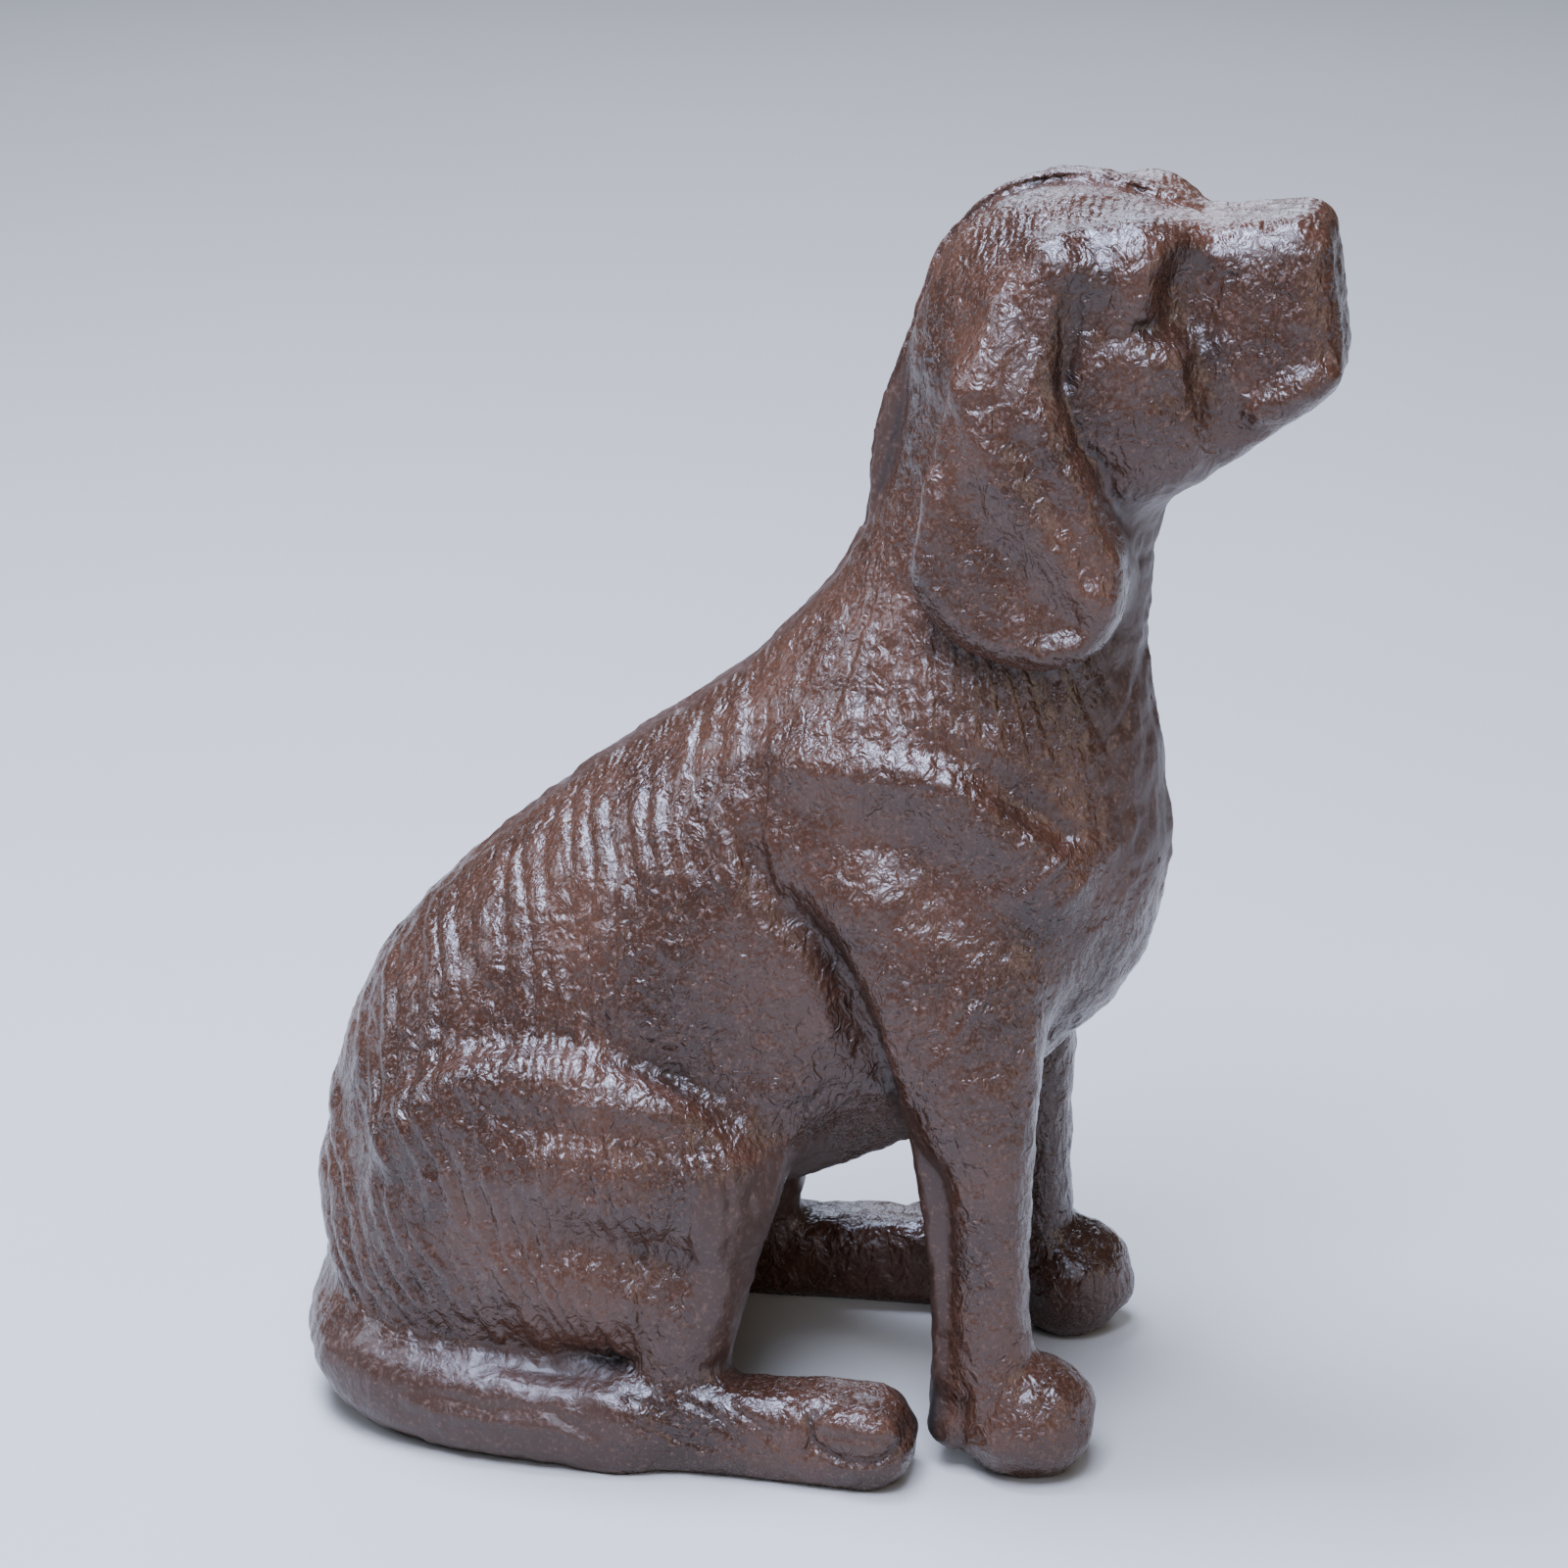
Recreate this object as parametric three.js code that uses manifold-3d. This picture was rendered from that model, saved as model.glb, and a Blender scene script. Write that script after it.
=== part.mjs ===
// A cast iron garden statue of a hound, sitting upright with its nose raised. It is one casting, one solid.
// Millimetres. +X is the way the dog faces, +Y is its left and +Z is up. The mould's halves met at Y = 0.
// The form is a blend of anatomical masses. It is sampled on a grid, skinned, thinned out where it is
// smooth and cut flat where it stands.

import * as THREE from "three";
import Module from "manifold-3d";

// Driving dimensions
const FUR_HEIGHT = 1.05;
const FLANK_PITCH = 3.6;
const MANE_PITCH = 3;
const WITHERS_PITCH = 3.7;
const BREAST_PITCH = 2.8;
const FUR_SWEEP = 38.5;
const FUR_SWEEP_HEIGHT = 35;
const MOULD_SHIFT_BACK = 0.5;
const MOULD_SHIFT_UP = 1.5;
const EAR_STAND_OFF = 28.2;
const EAR_TOP_INSET = 7.2;
const EAR_TIP_INSET = 1.2;
const EAR_ROUNDING = 5;
const MUZZLE_ROUNDING = 5;

// The skin: the box that is sampled, the step of the grid and the number of triangles that are kept
const BOX_LOW = [-90, -52, -6];
const BOX_HIGH = [94, 52, 202];
const GRID_STEP = 1;
const COARSE_CELLS = 3;
const KEPT_TRIANGLES = 9600;

// How far each mass blends into what it joins, or each groove into what it cuts
const BLEND = {
  chest: 8,
  belly: 8,
  neck: 11,
  shoulder: 6,
  blade: 7,
  shoulderHollow: 6,
  arm: 4,
  foreleg: 5,
  forelegWeb: 1.5,
  bladeGroove: 3,
  armpitGroove: 4,
  thigh: 6,
  thighRidge: 5,
  thighMuscle: 5,
  calf: 4,
  shank: 8,
  ham: 8,
  knee: 3,
  paw: 3,
  hindFoot: 3,
  toe: 1.5,
  tail: 2.5,
  tailCrest: 2,
  skull: 6,
  jaw: 4,
  muzzle: 7,
  cheek: 6,
  brow: 3.5,
  eyeSocket: 4.5,
  eyePouch: 2.5,
  eyeSlit: 1.2,
  lip: 3,
  cheekGroove: 4.5,
  ear: 1.6,
  earRoot: 7.6,
  earTip: 2,
  earCrease: 2,
  napeFlash: 1,
};

const LOOK = { color: 0x3b2722, roughness: 0.42, metalness: 0.55 };

// Ways to blend distances

function smoothUnion(a, b, blend) {
  const near = Math.max(blend - Math.abs(a - b), 0) / blend;
  return Math.min(a, b) - near * near * blend * 0.25;
}

function smoothMeet(a, b, blend) {
  return -smoothUnion(-a, -b, blend);
}

function ramp(from, to, value) {
  const t = THREE.MathUtils.clamp((value - from) / (to - from), 0, 1);
  return t * t * (3 - 2 * t);
}

function square(value) {
  return value * value;
}

function bell(distance, width) {
  return Math.exp(-square(distance / width));
}

// Shapes. Each has the corners of its box and a distance that is negative inside it.
// CORE keeps the distance smooth at a shape's middle.

const CORE = 0.3;

function boxAround(centre, reach) {
  return { low: centre.map((c, i) => c - reach[i]), high: centre.map((c, i) => c + reach[i]) };
}

// An ellipsoid. Tilt raises its front end and splay turns its front end outwards, in degrees.
function mass(centre, radii, tilt = 0, splay = 0) {
  const [ca, sa] = [Math.cos(THREE.MathUtils.degToRad(tilt)), Math.sin(THREE.MathUtils.degToRad(tilt))];
  const [cb, sb] = [Math.cos(THREE.MathUtils.degToRad(splay)), Math.sin(THREE.MathUtils.degToRad(splay))];
  const [a, b, c] = radii;
  const longest = Math.max(a, b, c);
  const shortest = Math.min(a, b, c);
  const reach = tilt || splay ? [longest, longest, longest] : radii;
  return {
    ...boxAround(centre, reach),
    distance(px, py, pz) {
      const x0 = px - centre[0];
      const y0 = py - centre[1];
      const z0 = pz - centre[2];
      const x1 = cb * x0 + sb * y0;
      const y = cb * y0 - sb * x0;
      const x = ca * x1 + sa * z0;
      const z = ca * z0 - sa * x1;
      const scaled = Math.sqrt(square(x / a) + square(y / b) + square(z / c));
      const slope = Math.sqrt(square(x / square(a)) + square(y / square(b)) + square(z / square(c)));
      return (scaled - 1) * (scaled + CORE) / (slope + CORE / shortest);
    },
  };
}

// A tapering tube on a smooth curve through stations [x, y, z, radius seen from the side, half thickness].
// A squareness over 2 makes its section boxier.
function limb(stations, squareness = 2) {
  const count = 4 * (stations.length - 1);
  const isRound = squareness === 2;
  const places = stations.map(([x, y, z]) => new THREE.Vector3(x, y, z));
  const sizes = stations.map(([, , , radius, thickness]) => new THREE.Vector3(radius, thickness, 0));
  const centres = new THREE.CatmullRomCurve3(places, false, "catmullrom").getPoints(count);
  const girths = new THREE.CatmullRomCurve3(sizes, false, "catmullrom").getPoints(count);
  const bounds = new THREE.Box3();
  centres.forEach((point, i) => {
    const size = 2 * Math.max(girths[i].x, girths[i].y);
    bounds.union(new THREE.Box3().setFromCenterAndSize(point, new THREE.Vector3(size, size, size)));
  });
  const pieces = centres.slice(1).map((end, i) => {
    const start = centres[i];
    const squash = girths[i].y / girths[i].x;
    const [dx, dy, dz] = [end.x - start.x, (end.y - start.y) / squash, end.z - start.z];
    const [radius, thickness] = [girths[i].x, girths[i].y];
    const [wider, thicker] = [girths[i + 1].x - radius, girths[i + 1].y - thickness];
    const span = square(dx) + square(dy) + square(dz);
    return { start, squash, dx, dy, dz, span, radius, thickness, wider, thicker };
  });
  return {
    low: bounds.min.toArray(),
    high: bounds.max.toArray(),
    distance(x, y, z) {
      let best = Infinity;
      for (const piece of pieces) {
        const ox = x - piece.start.x;
        const oy = (y - piece.start.y) / piece.squash;
        const oz = z - piece.start.z;
        const along = (ox * piece.dx + oy * piece.dy + oz * piece.dz) / piece.span;
        const t = Math.min(Math.max(along, 0), 1);
        const radius = piece.radius + piece.wider * t;
        const thickness = piece.thickness + piece.thicker * t;
        const beside = Math.sqrt(square(ox - piece.dx * t) + square(oz - piece.dz * t)) / radius;
        const through = Math.abs(oy - piece.dy * t) * piece.squash / thickness;
        const scaled = isRound
          ? Math.sqrt(square(beside) + square(through))
          : (beside ** squareness + through ** squareness) ** (1 / squareness);
        const slope = Math.sqrt(square(beside / radius) + square(through / thickness));
        best = Math.min(best, (scaled - 1) * (scaled + CORE) / (slope + CORE / Math.min(radius, thickness)));
      }
      return best;
    },
  };
}

// A rounded block that narrows forwards, with its front end raised by tilt degrees and its sides crowned.
function block(centre, half, rounding, tilt, taper, crown) {
  const [c, s] = [Math.cos(THREE.MathUtils.degToRad(tilt)), Math.sin(THREE.MathUtils.degToRad(tilt))];
  const [a, b, h] = half.map((size) => size - rounding);
  return (px, py, pz) => {
    const x = c * (px - centre[0]) + s * (pz - centre[2]);
    const z = c * (pz - centre[2]) - s * (px - centre[0]);
    const u = Math.abs(x) - a;
    const v = Math.abs(py - centre[1]) - b + taper * x + crown * square(z / half[2]);
    const w = Math.abs(z) - h;
    const outside = Math.sqrt(square(Math.max(u, 0)) + square(Math.max(v, 0)) + square(Math.max(w, 0)));
    return outside + Math.min(Math.max(u, v, w), 0) - rounding;
  };
}

// Distance in the side view from a line through points [x, z, radius], where the radius may be left out.
function strip(points) {
  return (x, z) => {
    let best = Infinity;
    for (let i = 0; i + 1 < points.length; i += 1) {
      const [ax, az, ar = 0] = points[i];
      const [bx, bz, br = 0] = points[i + 1];
      const along = ((x - ax) * (bx - ax) + (z - az) * (bz - az)) / (square(bx - ax) + square(bz - az));
      const t = Math.min(Math.max(along, 0), 1);
      const gap = Math.sqrt(square(x - ax - (bx - ax) * t) + square(z - az - (bz - az) * t));
      best = Math.min(best, gap - ar - (br - ar) * t);
    }
    return best;
  };
}

// How far a point is from a shape's box: the shape's own distance is never less.
function gapTo(shape, x, y, z) {
  const dx = Math.max(shape.low[0] - x, x - shape.high[0], 0);
  const dy = Math.max(shape.low[1] - y, y - shape.high[1], 0);
  const dz = Math.max(shape.low[2] - z, z - shape.high[2], 0);
  return Math.sqrt(dx * dx + dy * dy + dz * dz);
}

function join(d, shape, x, y, z, blend) {
  return gapTo(shape, x, y, z) < d + blend ? smoothUnion(d, shape.distance(x, y, z), blend) : d;
}

function carve(d, shape, x, y, z, blend) {
  const reached = gapTo(shape, x, y, z) < blend + 2 - d && d < 6;
  return reached ? smoothMeet(d, -shape.distance(x, y, z), blend) : d;
}

// Trunk and neck

const BARREL = limb([
  [-44, 0, 30, 29, 32.5],
  [-36.5, 0, 51.5, 31, 31.5],
  [-15, 0, 71.5, 31.5, 29],
  [7, 0, 86, 32.5, 27],
  [24, 0, 95, 31.5, 25.5],
]);
const CHEST = mass([27.5, 0, 84], [29.2, 25.5, 27.5]);
const BELLY = limb([
  [-25, 0, 55, 27, 27],
  [-5, 0, 61.7, 27.5, 26],
  [14, 0, 69.8, 27, 24.5],
]);
const NECK = limb([
  [25.5, 0, 104, 30, 24],
  [31.2, 0, 125, 23.6, 20],
  [35.9, 0, 143, 20.3, 18.5],
  [39.2, 0, 160, 20.2, 19],
]);

function trunk(x, y, z) {
  const d = join(BARREL.distance(x, y, z), CHEST, x, y, z, BLEND.chest);
  return join(join(d, BELLY, x, y, z, BLEND.belly), NECK, x, y, z, BLEND.neck);
}

// Shoulder and foreleg. From here on the shapes are those of one side, and the other side mirrors them.

const SHOULDER = mass([24, 17.5, 88], [23, 11.5, 23.5], 28);
const BLADE = limb([
  [8, 21, 109.6, 3.4, 4.4],
  [18, 23, 110, 4, 4.6],
  [28, 23.4, 107.2, 4.2, 4.6],
  [37, 22.8, 100.8, 3.8, 4.4],
  [43, 21, 93.6, 3, 4],
]);
const BLADE_GROOVE = limb([
  [6, 24.6, 114.6, 1.2, 1.4],
  [12, 26.6, 115, 1.6, 1.7],
  [22, 27.2, 115, 1.8, 1.8],
  [31, 26.8, 112.4, 1.8, 1.8],
  [39, 25.6, 106.8, 1.7, 1.8],
  [46, 22.8, 100, 1.2, 1.5],
]);
const SHOULDER_HOLLOW = mass([24, 37, 97.5], [13, 8, 9], -15);
const ARM = limb([
  [19, 25.5, 88, 8, 6],
  [21.5, 26, 80, 8.5, 6.5],
  [26, 26.2, 70, 8.5, 7],
  [31.5, 26.2, 58, 7.4, 7.2],
]);
const ARMPIT_GROOVE = limb([
  [-2.5, 28, 97, 2, 4],
  [4, 29.5, 89, 2.2, 4.5],
  [11.2, 29.5, 81, 2.6, 5],
  [15.6, 28.5, 72, 2.8, 5],
  [19.2, 27, 62, 2.4, 4],
]);
const FORELEG = limb([
  [31, 24.5, 74, 12.5, 7.4],
  [33.6, 25.6, 62, 9.4, 7.4],
  [35.2, 26, 52, 7.2, 7.3],
  [36, 26, 42, 5.9, 7.2],
  [36.2, 26, 28, 5.6, 7],
  [36.3, 26, 15, 5.9, 7],
], 2.4);
const FORELEG_WEB = limb([
  [24.5, 23.5, 68, 6, 5],
  [27.4, 24, 54, 4.4, 4.4],
  [29.8, 24.5, 40, 4.1, 4.2],
  [31.2, 24.7, 24, 4.1, 4.2],
  [31.8, 25.4, 8, 4.8, 5.2],
], 3);
const PAW = mass([41.8, 26, 8.5], [10.4, 9.6, 9.6]);

function joinForeleg(body, x, side, z) {
  let d = join(body, SHOULDER, x, side, z, BLEND.shoulder);
  d = join(d, BLADE, x, side, z, BLEND.blade);
  d = carve(d, SHOULDER_HOLLOW, x, side, z, BLEND.shoulderHollow);
  d = join(d, ARM, x, side, z, BLEND.arm);
  d = join(d, FORELEG, x, side, z, BLEND.foreleg);
  return join(d, FORELEG_WEB, x, side, z, BLEND.forelegWeb);
}

// Haunch and hind foot

const THIGH = mass([-31, 25.5, 37], [27.5, 12.5, 24.5], -10);
const THIGH_RIDGE = limb([
  [-53, 29.3, 49, 4, 3.6],
  [-43, 32.6, 56.8, 4.8, 3.7],
  [-29, 33.6, 59, 5, 3.7],
  [-14, 33.5, 56, 4.8, 3.7],
  [-4, 32, 49, 3.8, 3.6],
]);
const THIGH_MUSCLE = mass([-23, 33, 46.5], [18, 6.2, 10], -14);
const CALF = mass([-25, 33, 27.5], [15, 6, 8], -8);
const SHANK = limb([
  [-0.5, 21, 55, 7, 5],
  [-3.3, 26.5, 43, 7, 5.5],
  [-7.4, 29.2, 28, 6.6, 5.4],
  [-10, 31, 13, 6.6, 5.6],
], 2.3);
const HAM = mass([-40, 18.5, 17], [25, 13, 17]);
const KNEE = limb([
  [-6.5, 32, 47, 4, 5.5],
  [-4.5, 32.5, 36, 4.2, 5.5],
  [-6.5, 32, 24, 4, 5.2],
  [-13, 31.5, 13, 4, 5],
]);
const HIND_FOOT = limb([
  [-20, 33, 6.6, 7.4, 6.8],
  [-6, 33, 6.6, 7.2, 6.8],
  [8, 33.5, 6.8, 7.4, 7.2],
  [18.5, 34, 6.8, 7.6, 7.4],
], 3);
const TOE = mass([18, 37.6, 10.2], [6.8, 4.7, 3.8]);

function joinHaunch(body, x, side, z) {
  let d = join(body, THIGH_RIDGE, x, side, z, BLEND.thighRidge);
  d = join(d, THIGH_MUSCLE, x, side, z, BLEND.thighMuscle);
  d = join(d, CALF, x, side, z, BLEND.calf);
  d = join(d, SHANK, x, side, z, BLEND.shank);
  d = join(d, HAM, x, side, z, BLEND.ham);
  return join(d, KNEE, x, side, z, BLEND.knee);
}

function joinFeet(body, x, side, z) {
  let d = join(body, PAW, x, side, z, BLEND.paw);
  d = join(d, HIND_FOOT, x, side, z, BLEND.hindFoot);
  return join(d, TOE, x, side, z, BLEND.toe);
}

// The tail starts at the rump and lies round the dog's right side, at negative Y.
const TAIL = limb([
  [-58, 8, 17, 8, 7],
  [-63.5, -3, 15, 8, 7.5],
  [-64.2, -15, 11.5, 8, 7.5],
  [-58.5, -26.5, 9, 7.8, 6.8],
  [-47, -33, 7.8, 7.4, 6],
  [-33, -36, 7.2, 7, 5.5],
  [-19, -36.5, 6.6, 6.4, 5],
], 2.7);
const TAIL_CREST = limb([
  [-66, -14, 20, 1.4, 1.6],
  [-60, -26.5, 16, 1.5, 1.8],
  [-48, -32, 14.4, 1.5, 1.8],
  [-36, -33.5, 14, 1.5, 1.8],
  [-27, -33.5, 14.8, 1.6, 1.8],
  [-19, -35, 12.6, 1.4, 1.6],
]);

// Head

const SKULL = mass([43.4, 0, 170.6], [22.7, 20.5, 22]);
const MUZZLE = block([64.2, 0, 169.2], [18.5, 13.6, 19.5], MUZZLE_ROUNDING, 7.5, 0.06, 2.4);
const JAW_POINT = [81.5, 164.6];
const JAW_NORMAL = [0.574, -0.819];
const BROW = mass([54, 12.2, 181.6], [9, 8, 9], 0, -20);
const CHEEK = mass([51, 12.5, 162.5], [14.5, 7.5, 12]);
const EYE_POUCH = mass([57, 15.5, 170.6], [8.5, 4.2, 3.8], 8, -18);
const EYE_SOCKET = mass([61.4, 17.4, 179.4], [4.4, 4.8, 6.4]);
const EYE_SLIT = limb([
  [54.5, 19, 176, 1, 1.6],
  [58.5, 17.3, 175.8, 1.1, 1.6],
  [62.5, 14.6, 176.2, 1.1, 1.6],
]);
const CHEEK_GROOVE = limb([
  [61.3, 14.6, 183, 1.5, 1.7],
  [62.3, 14.6, 175.5, 1.5, 1.7],
  [63.8, 15.6, 170, 1.4, 1.6],
  [65, 15.4, 164.3, 1.2, 1.5],
  [66, 14.6, 159.5, 1.2, 1.5],
  [67.5, 13.4, 153, 1.2, 1.5],
]);
const LIP = limb([
  [71.5, 12.4, 163.4, 1.6, 1.9],
  [76.5, 12.4, 165.8, 1.8, 2],
  [80, 11.2, 168, 1.5, 1.8],
]);
const EAR_CREASE = limb([
  [45.2, 22.4, 182, 0.8, 1.4],
  [44.9, 22.1, 175, 1.2, 1.6],
  [44.4, 21.6, 168, 0.7, 1.2],
]);
const NAPE_FLASH = limb([
  [13.8, 0, 141, 0.8, 1.2],
  [15.2, 0, 150, 2, 1.4],
  [17.8, 0, 160, 2, 1.4],
  [20.6, 0, 170, 0.8, 1.2],
]);

function joinHead(body, x, y, z) {
  const side = Math.abs(y);
  const jaw = JAW_NORMAL[0] * (x - JAW_POINT[0]) + JAW_NORMAL[1] * (z - JAW_POINT[1]);
  const muzzle = smoothMeet(MUZZLE(x, y, z), jaw, BLEND.jaw);
  let d = smoothUnion(join(body, SKULL, x, y, z, BLEND.skull), muzzle, BLEND.muzzle);
  d = join(d, CHEEK, x, side, z, BLEND.cheek);
  d = join(d, BROW, x, side, z, BLEND.brow);
  d = carve(d, EYE_SOCKET, x, side, z, BLEND.eyeSocket);
  d = join(d, EYE_POUCH, x, side, z, BLEND.eyePouch);
  d = join(d, LIP, x, side, z, BLEND.lip);
  d = carve(d, EYE_SLIT, x, side, z, BLEND.eyeSlit);
  d = carve(d, CHEEK_GROOVE, x, side, z, BLEND.cheekGroove);
  const earBlend = BLEND.ear + (BLEND.earRoot - BLEND.ear) * ramp(EAR_ROOT.low, EAR_ROOT.high, z);
  d = smoothUnion(d, ear(x, side, z), earBlend);
  d = carve(d, EAR_CREASE, x, side, z, BLEND.earCrease);
  return join(d, NAPE_FLASH, x, y, z, BLEND.napeFlash);
}

// An ear is its side view given a thickness, with a fold down its middle and a hollow on each side of it.

const EAR_FLAP = strip([
  [42, 184, 3.5],
  [38, 176, 6],
  [35.6, 167, 8],
  [36, 158, 10],
  [36.9, 150, 12.8],
  [37.6, 142, 15.2],
]);
const EAR_TIP = { x: 41.6, z: 137.6, radius: 12 };
const EAR_FOLD = [[34.5, 175], [31, 165.4], [33.7, 157.6], [38.2, 151.8], [44.6, 144], [50, 136.5]];
const EAR_REAR_HOLLOW = [[28, 162], [29.5, 154.4], [33.7, 146.5], [41, 138.8], [46, 133.8]];
const EAR_FRONT_HOLLOW = [[39.5, 160], [42.8, 153.5], [46.5, 147.5], [49.5, 142]];
const EAR_RIM = [[25, 154], [23.6, 143], [27.7, 135.7], [33.8, 131.4], [41.9, 129], [47.3, 130.3]];
const EAR_RELIEF = [
  { line: strip(EAR_FOLD), height: 1, width: 3.2 },
  { line: strip(EAR_REAR_HOLLOW), height: -1.7, width: 3.8 },
  { line: strip(EAR_FRONT_HOLLOW), height: -1.3, width: 2.4 },
  { line: strip(EAR_RIM), height: 0.8, width: 2.2 },
];
const EAR_LEAN = { topLow: 158, topHigh: 186, tipLow: 126, tipHigh: 150 };
const EAR_ROOT = { low: 166, high: 184 };
const EAR_BACK = 8;

function ear(x, side, z) {
  const tip = Math.hypot(x - EAR_TIP.x, z - EAR_TIP.z) - EAR_TIP.radius;
  const outline = smoothUnion(EAR_FLAP(x, z), tip, BLEND.earTip);
  let face = EAR_STAND_OFF;
  face -= EAR_TOP_INSET * ramp(EAR_LEAN.topLow, EAR_LEAN.topHigh, z);
  face -= EAR_TIP_INSET * ramp(EAR_LEAN.tipHigh, EAR_LEAN.tipLow, z);
  for (const { line, height, width } of EAR_RELIEF) {
    face += height * bell(line(x, z), width);
  }
  return Math.max(smoothMeet(outline, side - face, EAR_ROUNDING), EAR_BACK - side);
}

// Fur: ridges side by side, each broken into dashes

function scatter(index) {
  const value = Math.sin(index * 12.9898) * 43758.5453;
  return value - Math.floor(value);
}

function furRows(across, along, pitch, dash) {
  const u = across / pitch + 0.16 * Math.sin(along * 0.31 + 0.4 * across / pitch);
  const index = Math.floor(u);
  const ridge = Math.max(Math.sin(Math.PI * (u - index)), 0) ** 1.3;
  const beat = 0.5 + 0.5 * Math.sin(2 * Math.PI * (along / dash + scatter(index)));
  return ridge * (0.3 + 0.7 * ramp(0.1, 0.55, beat));
}

// Where the fur grows, as tilted ellipses of the side view with soft edges
const FUR_PLACES = {
  flank: { centre: [-30, 78], radii: [44, 17], tilt: 37, soft: 0.25 },
  rump: { centre: [-59, 42], radii: [15, 24], tilt: -8, soft: 0.25 },
  thigh: { centre: [-28, 46], radii: [25, 12], tilt: -10, soft: 0.25 },
  mane: { centre: [27, 122.5], radii: [23, 6.5], tilt: -6, soft: 0.35 },
  withers: { centre: [-2, 106], radii: [9, 13], tilt: 10, soft: 0.35 },
  breast: { centre: [49, 110], radii: [5, 10], tilt: 0, soft: 0.4 },
};
const THIGH_FUR = 0.6;
const BREAST_FUR = 0.7;
const FLANK_FRONT = { full: 1, none: 7 };
const SPINE_STRIP = { bare: 6, furred: 12 };
const FUR_REACH = 2.5;

// 1 inside a place of fur and 0 outside it
function within(x, z, { centre, radii, tilt, soft }) {
  const angle = THREE.MathUtils.degToRad(tilt);
  const along = Math.cos(angle) * (x - centre[0]) + Math.sin(angle) * (z - centre[1]);
  const across = Math.cos(angle) * (z - centre[1]) - Math.sin(angle) * (x - centre[0]);
  return ramp(1 + soft, 1 - soft, Math.hypot(along / radii[0], across / radii[1]));
}

function fur(x, side, z) {
  const swept = x - FUR_SWEEP * Math.exp(-z / FUR_SWEEP_HEIGHT);
  const flank = within(x, z, FUR_PLACES.flank) * ramp(FLANK_FRONT.none, FLANK_FRONT.full, x);
  const rump = within(x, z, FUR_PLACES.rump);
  const thigh = THIGH_FUR * within(x, z, FUR_PLACES.thigh);
  const rows = Math.max(
    furRows(swept, z, FLANK_PITCH, 19) * Math.max(flank, rump, thigh),
    furRows(x + 0.18 * z, z, MANE_PITCH, 40) * within(x, z, FUR_PLACES.mane),
    furRows(x + 0.1 * z, z, WITHERS_PITCH, 24) * within(x, z, FUR_PLACES.withers),
    furRows(x + 0.1 * z, z, BREAST_PITCH, 16) * BREAST_FUR * within(x, z, FUR_PLACES.breast),
  );
  return FUR_HEIGHT * rows * ramp(SPINE_STRIP.bare, SPINE_STRIP.furred, side);
}

// The whole casting. The left half of the head sits a little back and high, with a step at the parting line.

const PARTING = { half: 0.6, neckLow: 125, neckHigh: 150, back: 52, front: 64 };

function dogDistance(px, y, pz) {
  const inHead = ramp(PARTING.neckLow, PARTING.neckHigh, pz) * ramp(PARTING.front, PARTING.back, px);
  const shift = inHead * ramp(-PARTING.half, PARTING.half, y);
  const x = px + MOULD_SHIFT_BACK * shift;
  const z = pz - MOULD_SHIFT_UP * shift;
  const side = Math.abs(y);
  let d = join(trunk(x, y, z), THIGH, x, side, z, BLEND.thigh);
  d = joinForeleg(d, x, side, z);
  d = joinHaunch(d, x, side, z);
  if (Math.abs(d) < FUR_REACH) {
    d -= fur(x, side, z) * ramp(FUR_REACH, 1, Math.abs(d));
  }
  d = carve(d, BLADE_GROOVE, x, side, z, BLEND.bladeGroove);
  d = carve(d, ARMPIT_GROOVE, x, side, z, BLEND.armpitGroove);
  d = joinHead(d, x, y, z);
  d = joinFeet(d, x, side, z);
  return join(join(d, TAIL, x, y, z, BLEND.tail), TAIL_CREST, x, y, z, BLEND.tailCrest);
}

// The grid: exact distances near the surface and rough ones away from it

function sampleGrid() {
  const block = GRID_STEP * COARSE_CELLS;
  const blocks = BOX_LOW.map((low, i) => Math.ceil((BOX_HIGH[i] - low) / block));
  const size = blocks.map((count) => count * COARSE_CELLS);
  const values = new Float32Array(size[0] * size[1] * size[2]);
  const place = (axis, index) => BOX_LOW[axis] + (index + 0.5) * GRID_STEP;
  const middle = (axis, index) => BOX_LOW[axis] + (index + 0.5) * block;
  for (let bi = 0; bi < blocks[0]; bi += 1) {
    for (let bj = 0; bj < blocks[1]; bj += 1) {
      for (let bk = 0; bk < blocks[2]; bk += 1) {
        const rough = dogDistance(middle(0, bi), middle(1, bj), middle(2, bk));
        const near = Math.abs(rough) < 1.6 * block;
        for (let i = bi * COARSE_CELLS; i < (bi + 1) * COARSE_CELLS; i += 1) {
          for (let j = bj * COARSE_CELLS; j < (bj + 1) * COARSE_CELLS; j += 1) {
            for (let k = bk * COARSE_CELLS; k < (bk + 1) * COARSE_CELLS; k += 1) {
              const value = near ? dogDistance(place(0, i), place(1, j), place(2, k)) : rough;
              values[(i * size[1] + j) * size[2] + k] = value;
            }
          }
        }
      }
    }
  }
  return { values, size };
}

// A cell whose corners touch only across a diagonal would make the skin meet itself, so it is filled.
function fillPinches({ values, size }) {
  const stride = [size[1] * size[2], size[2], 1];
  let changed = true;
  while (changed) {
    changed = false;
    for (let i = 0; i + 1 < size[0]; i += 1) {
      for (let j = 0; j + 1 < size[1]; j += 1) {
        for (let k = 0; k + 1 < size[2]; k += 1) {
          const start = i * stride[0] + j * stride[1] + k;
          changed = fillPinchedCell(values, start, stride) || changed;
        }
      }
    }
  }
}

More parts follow.
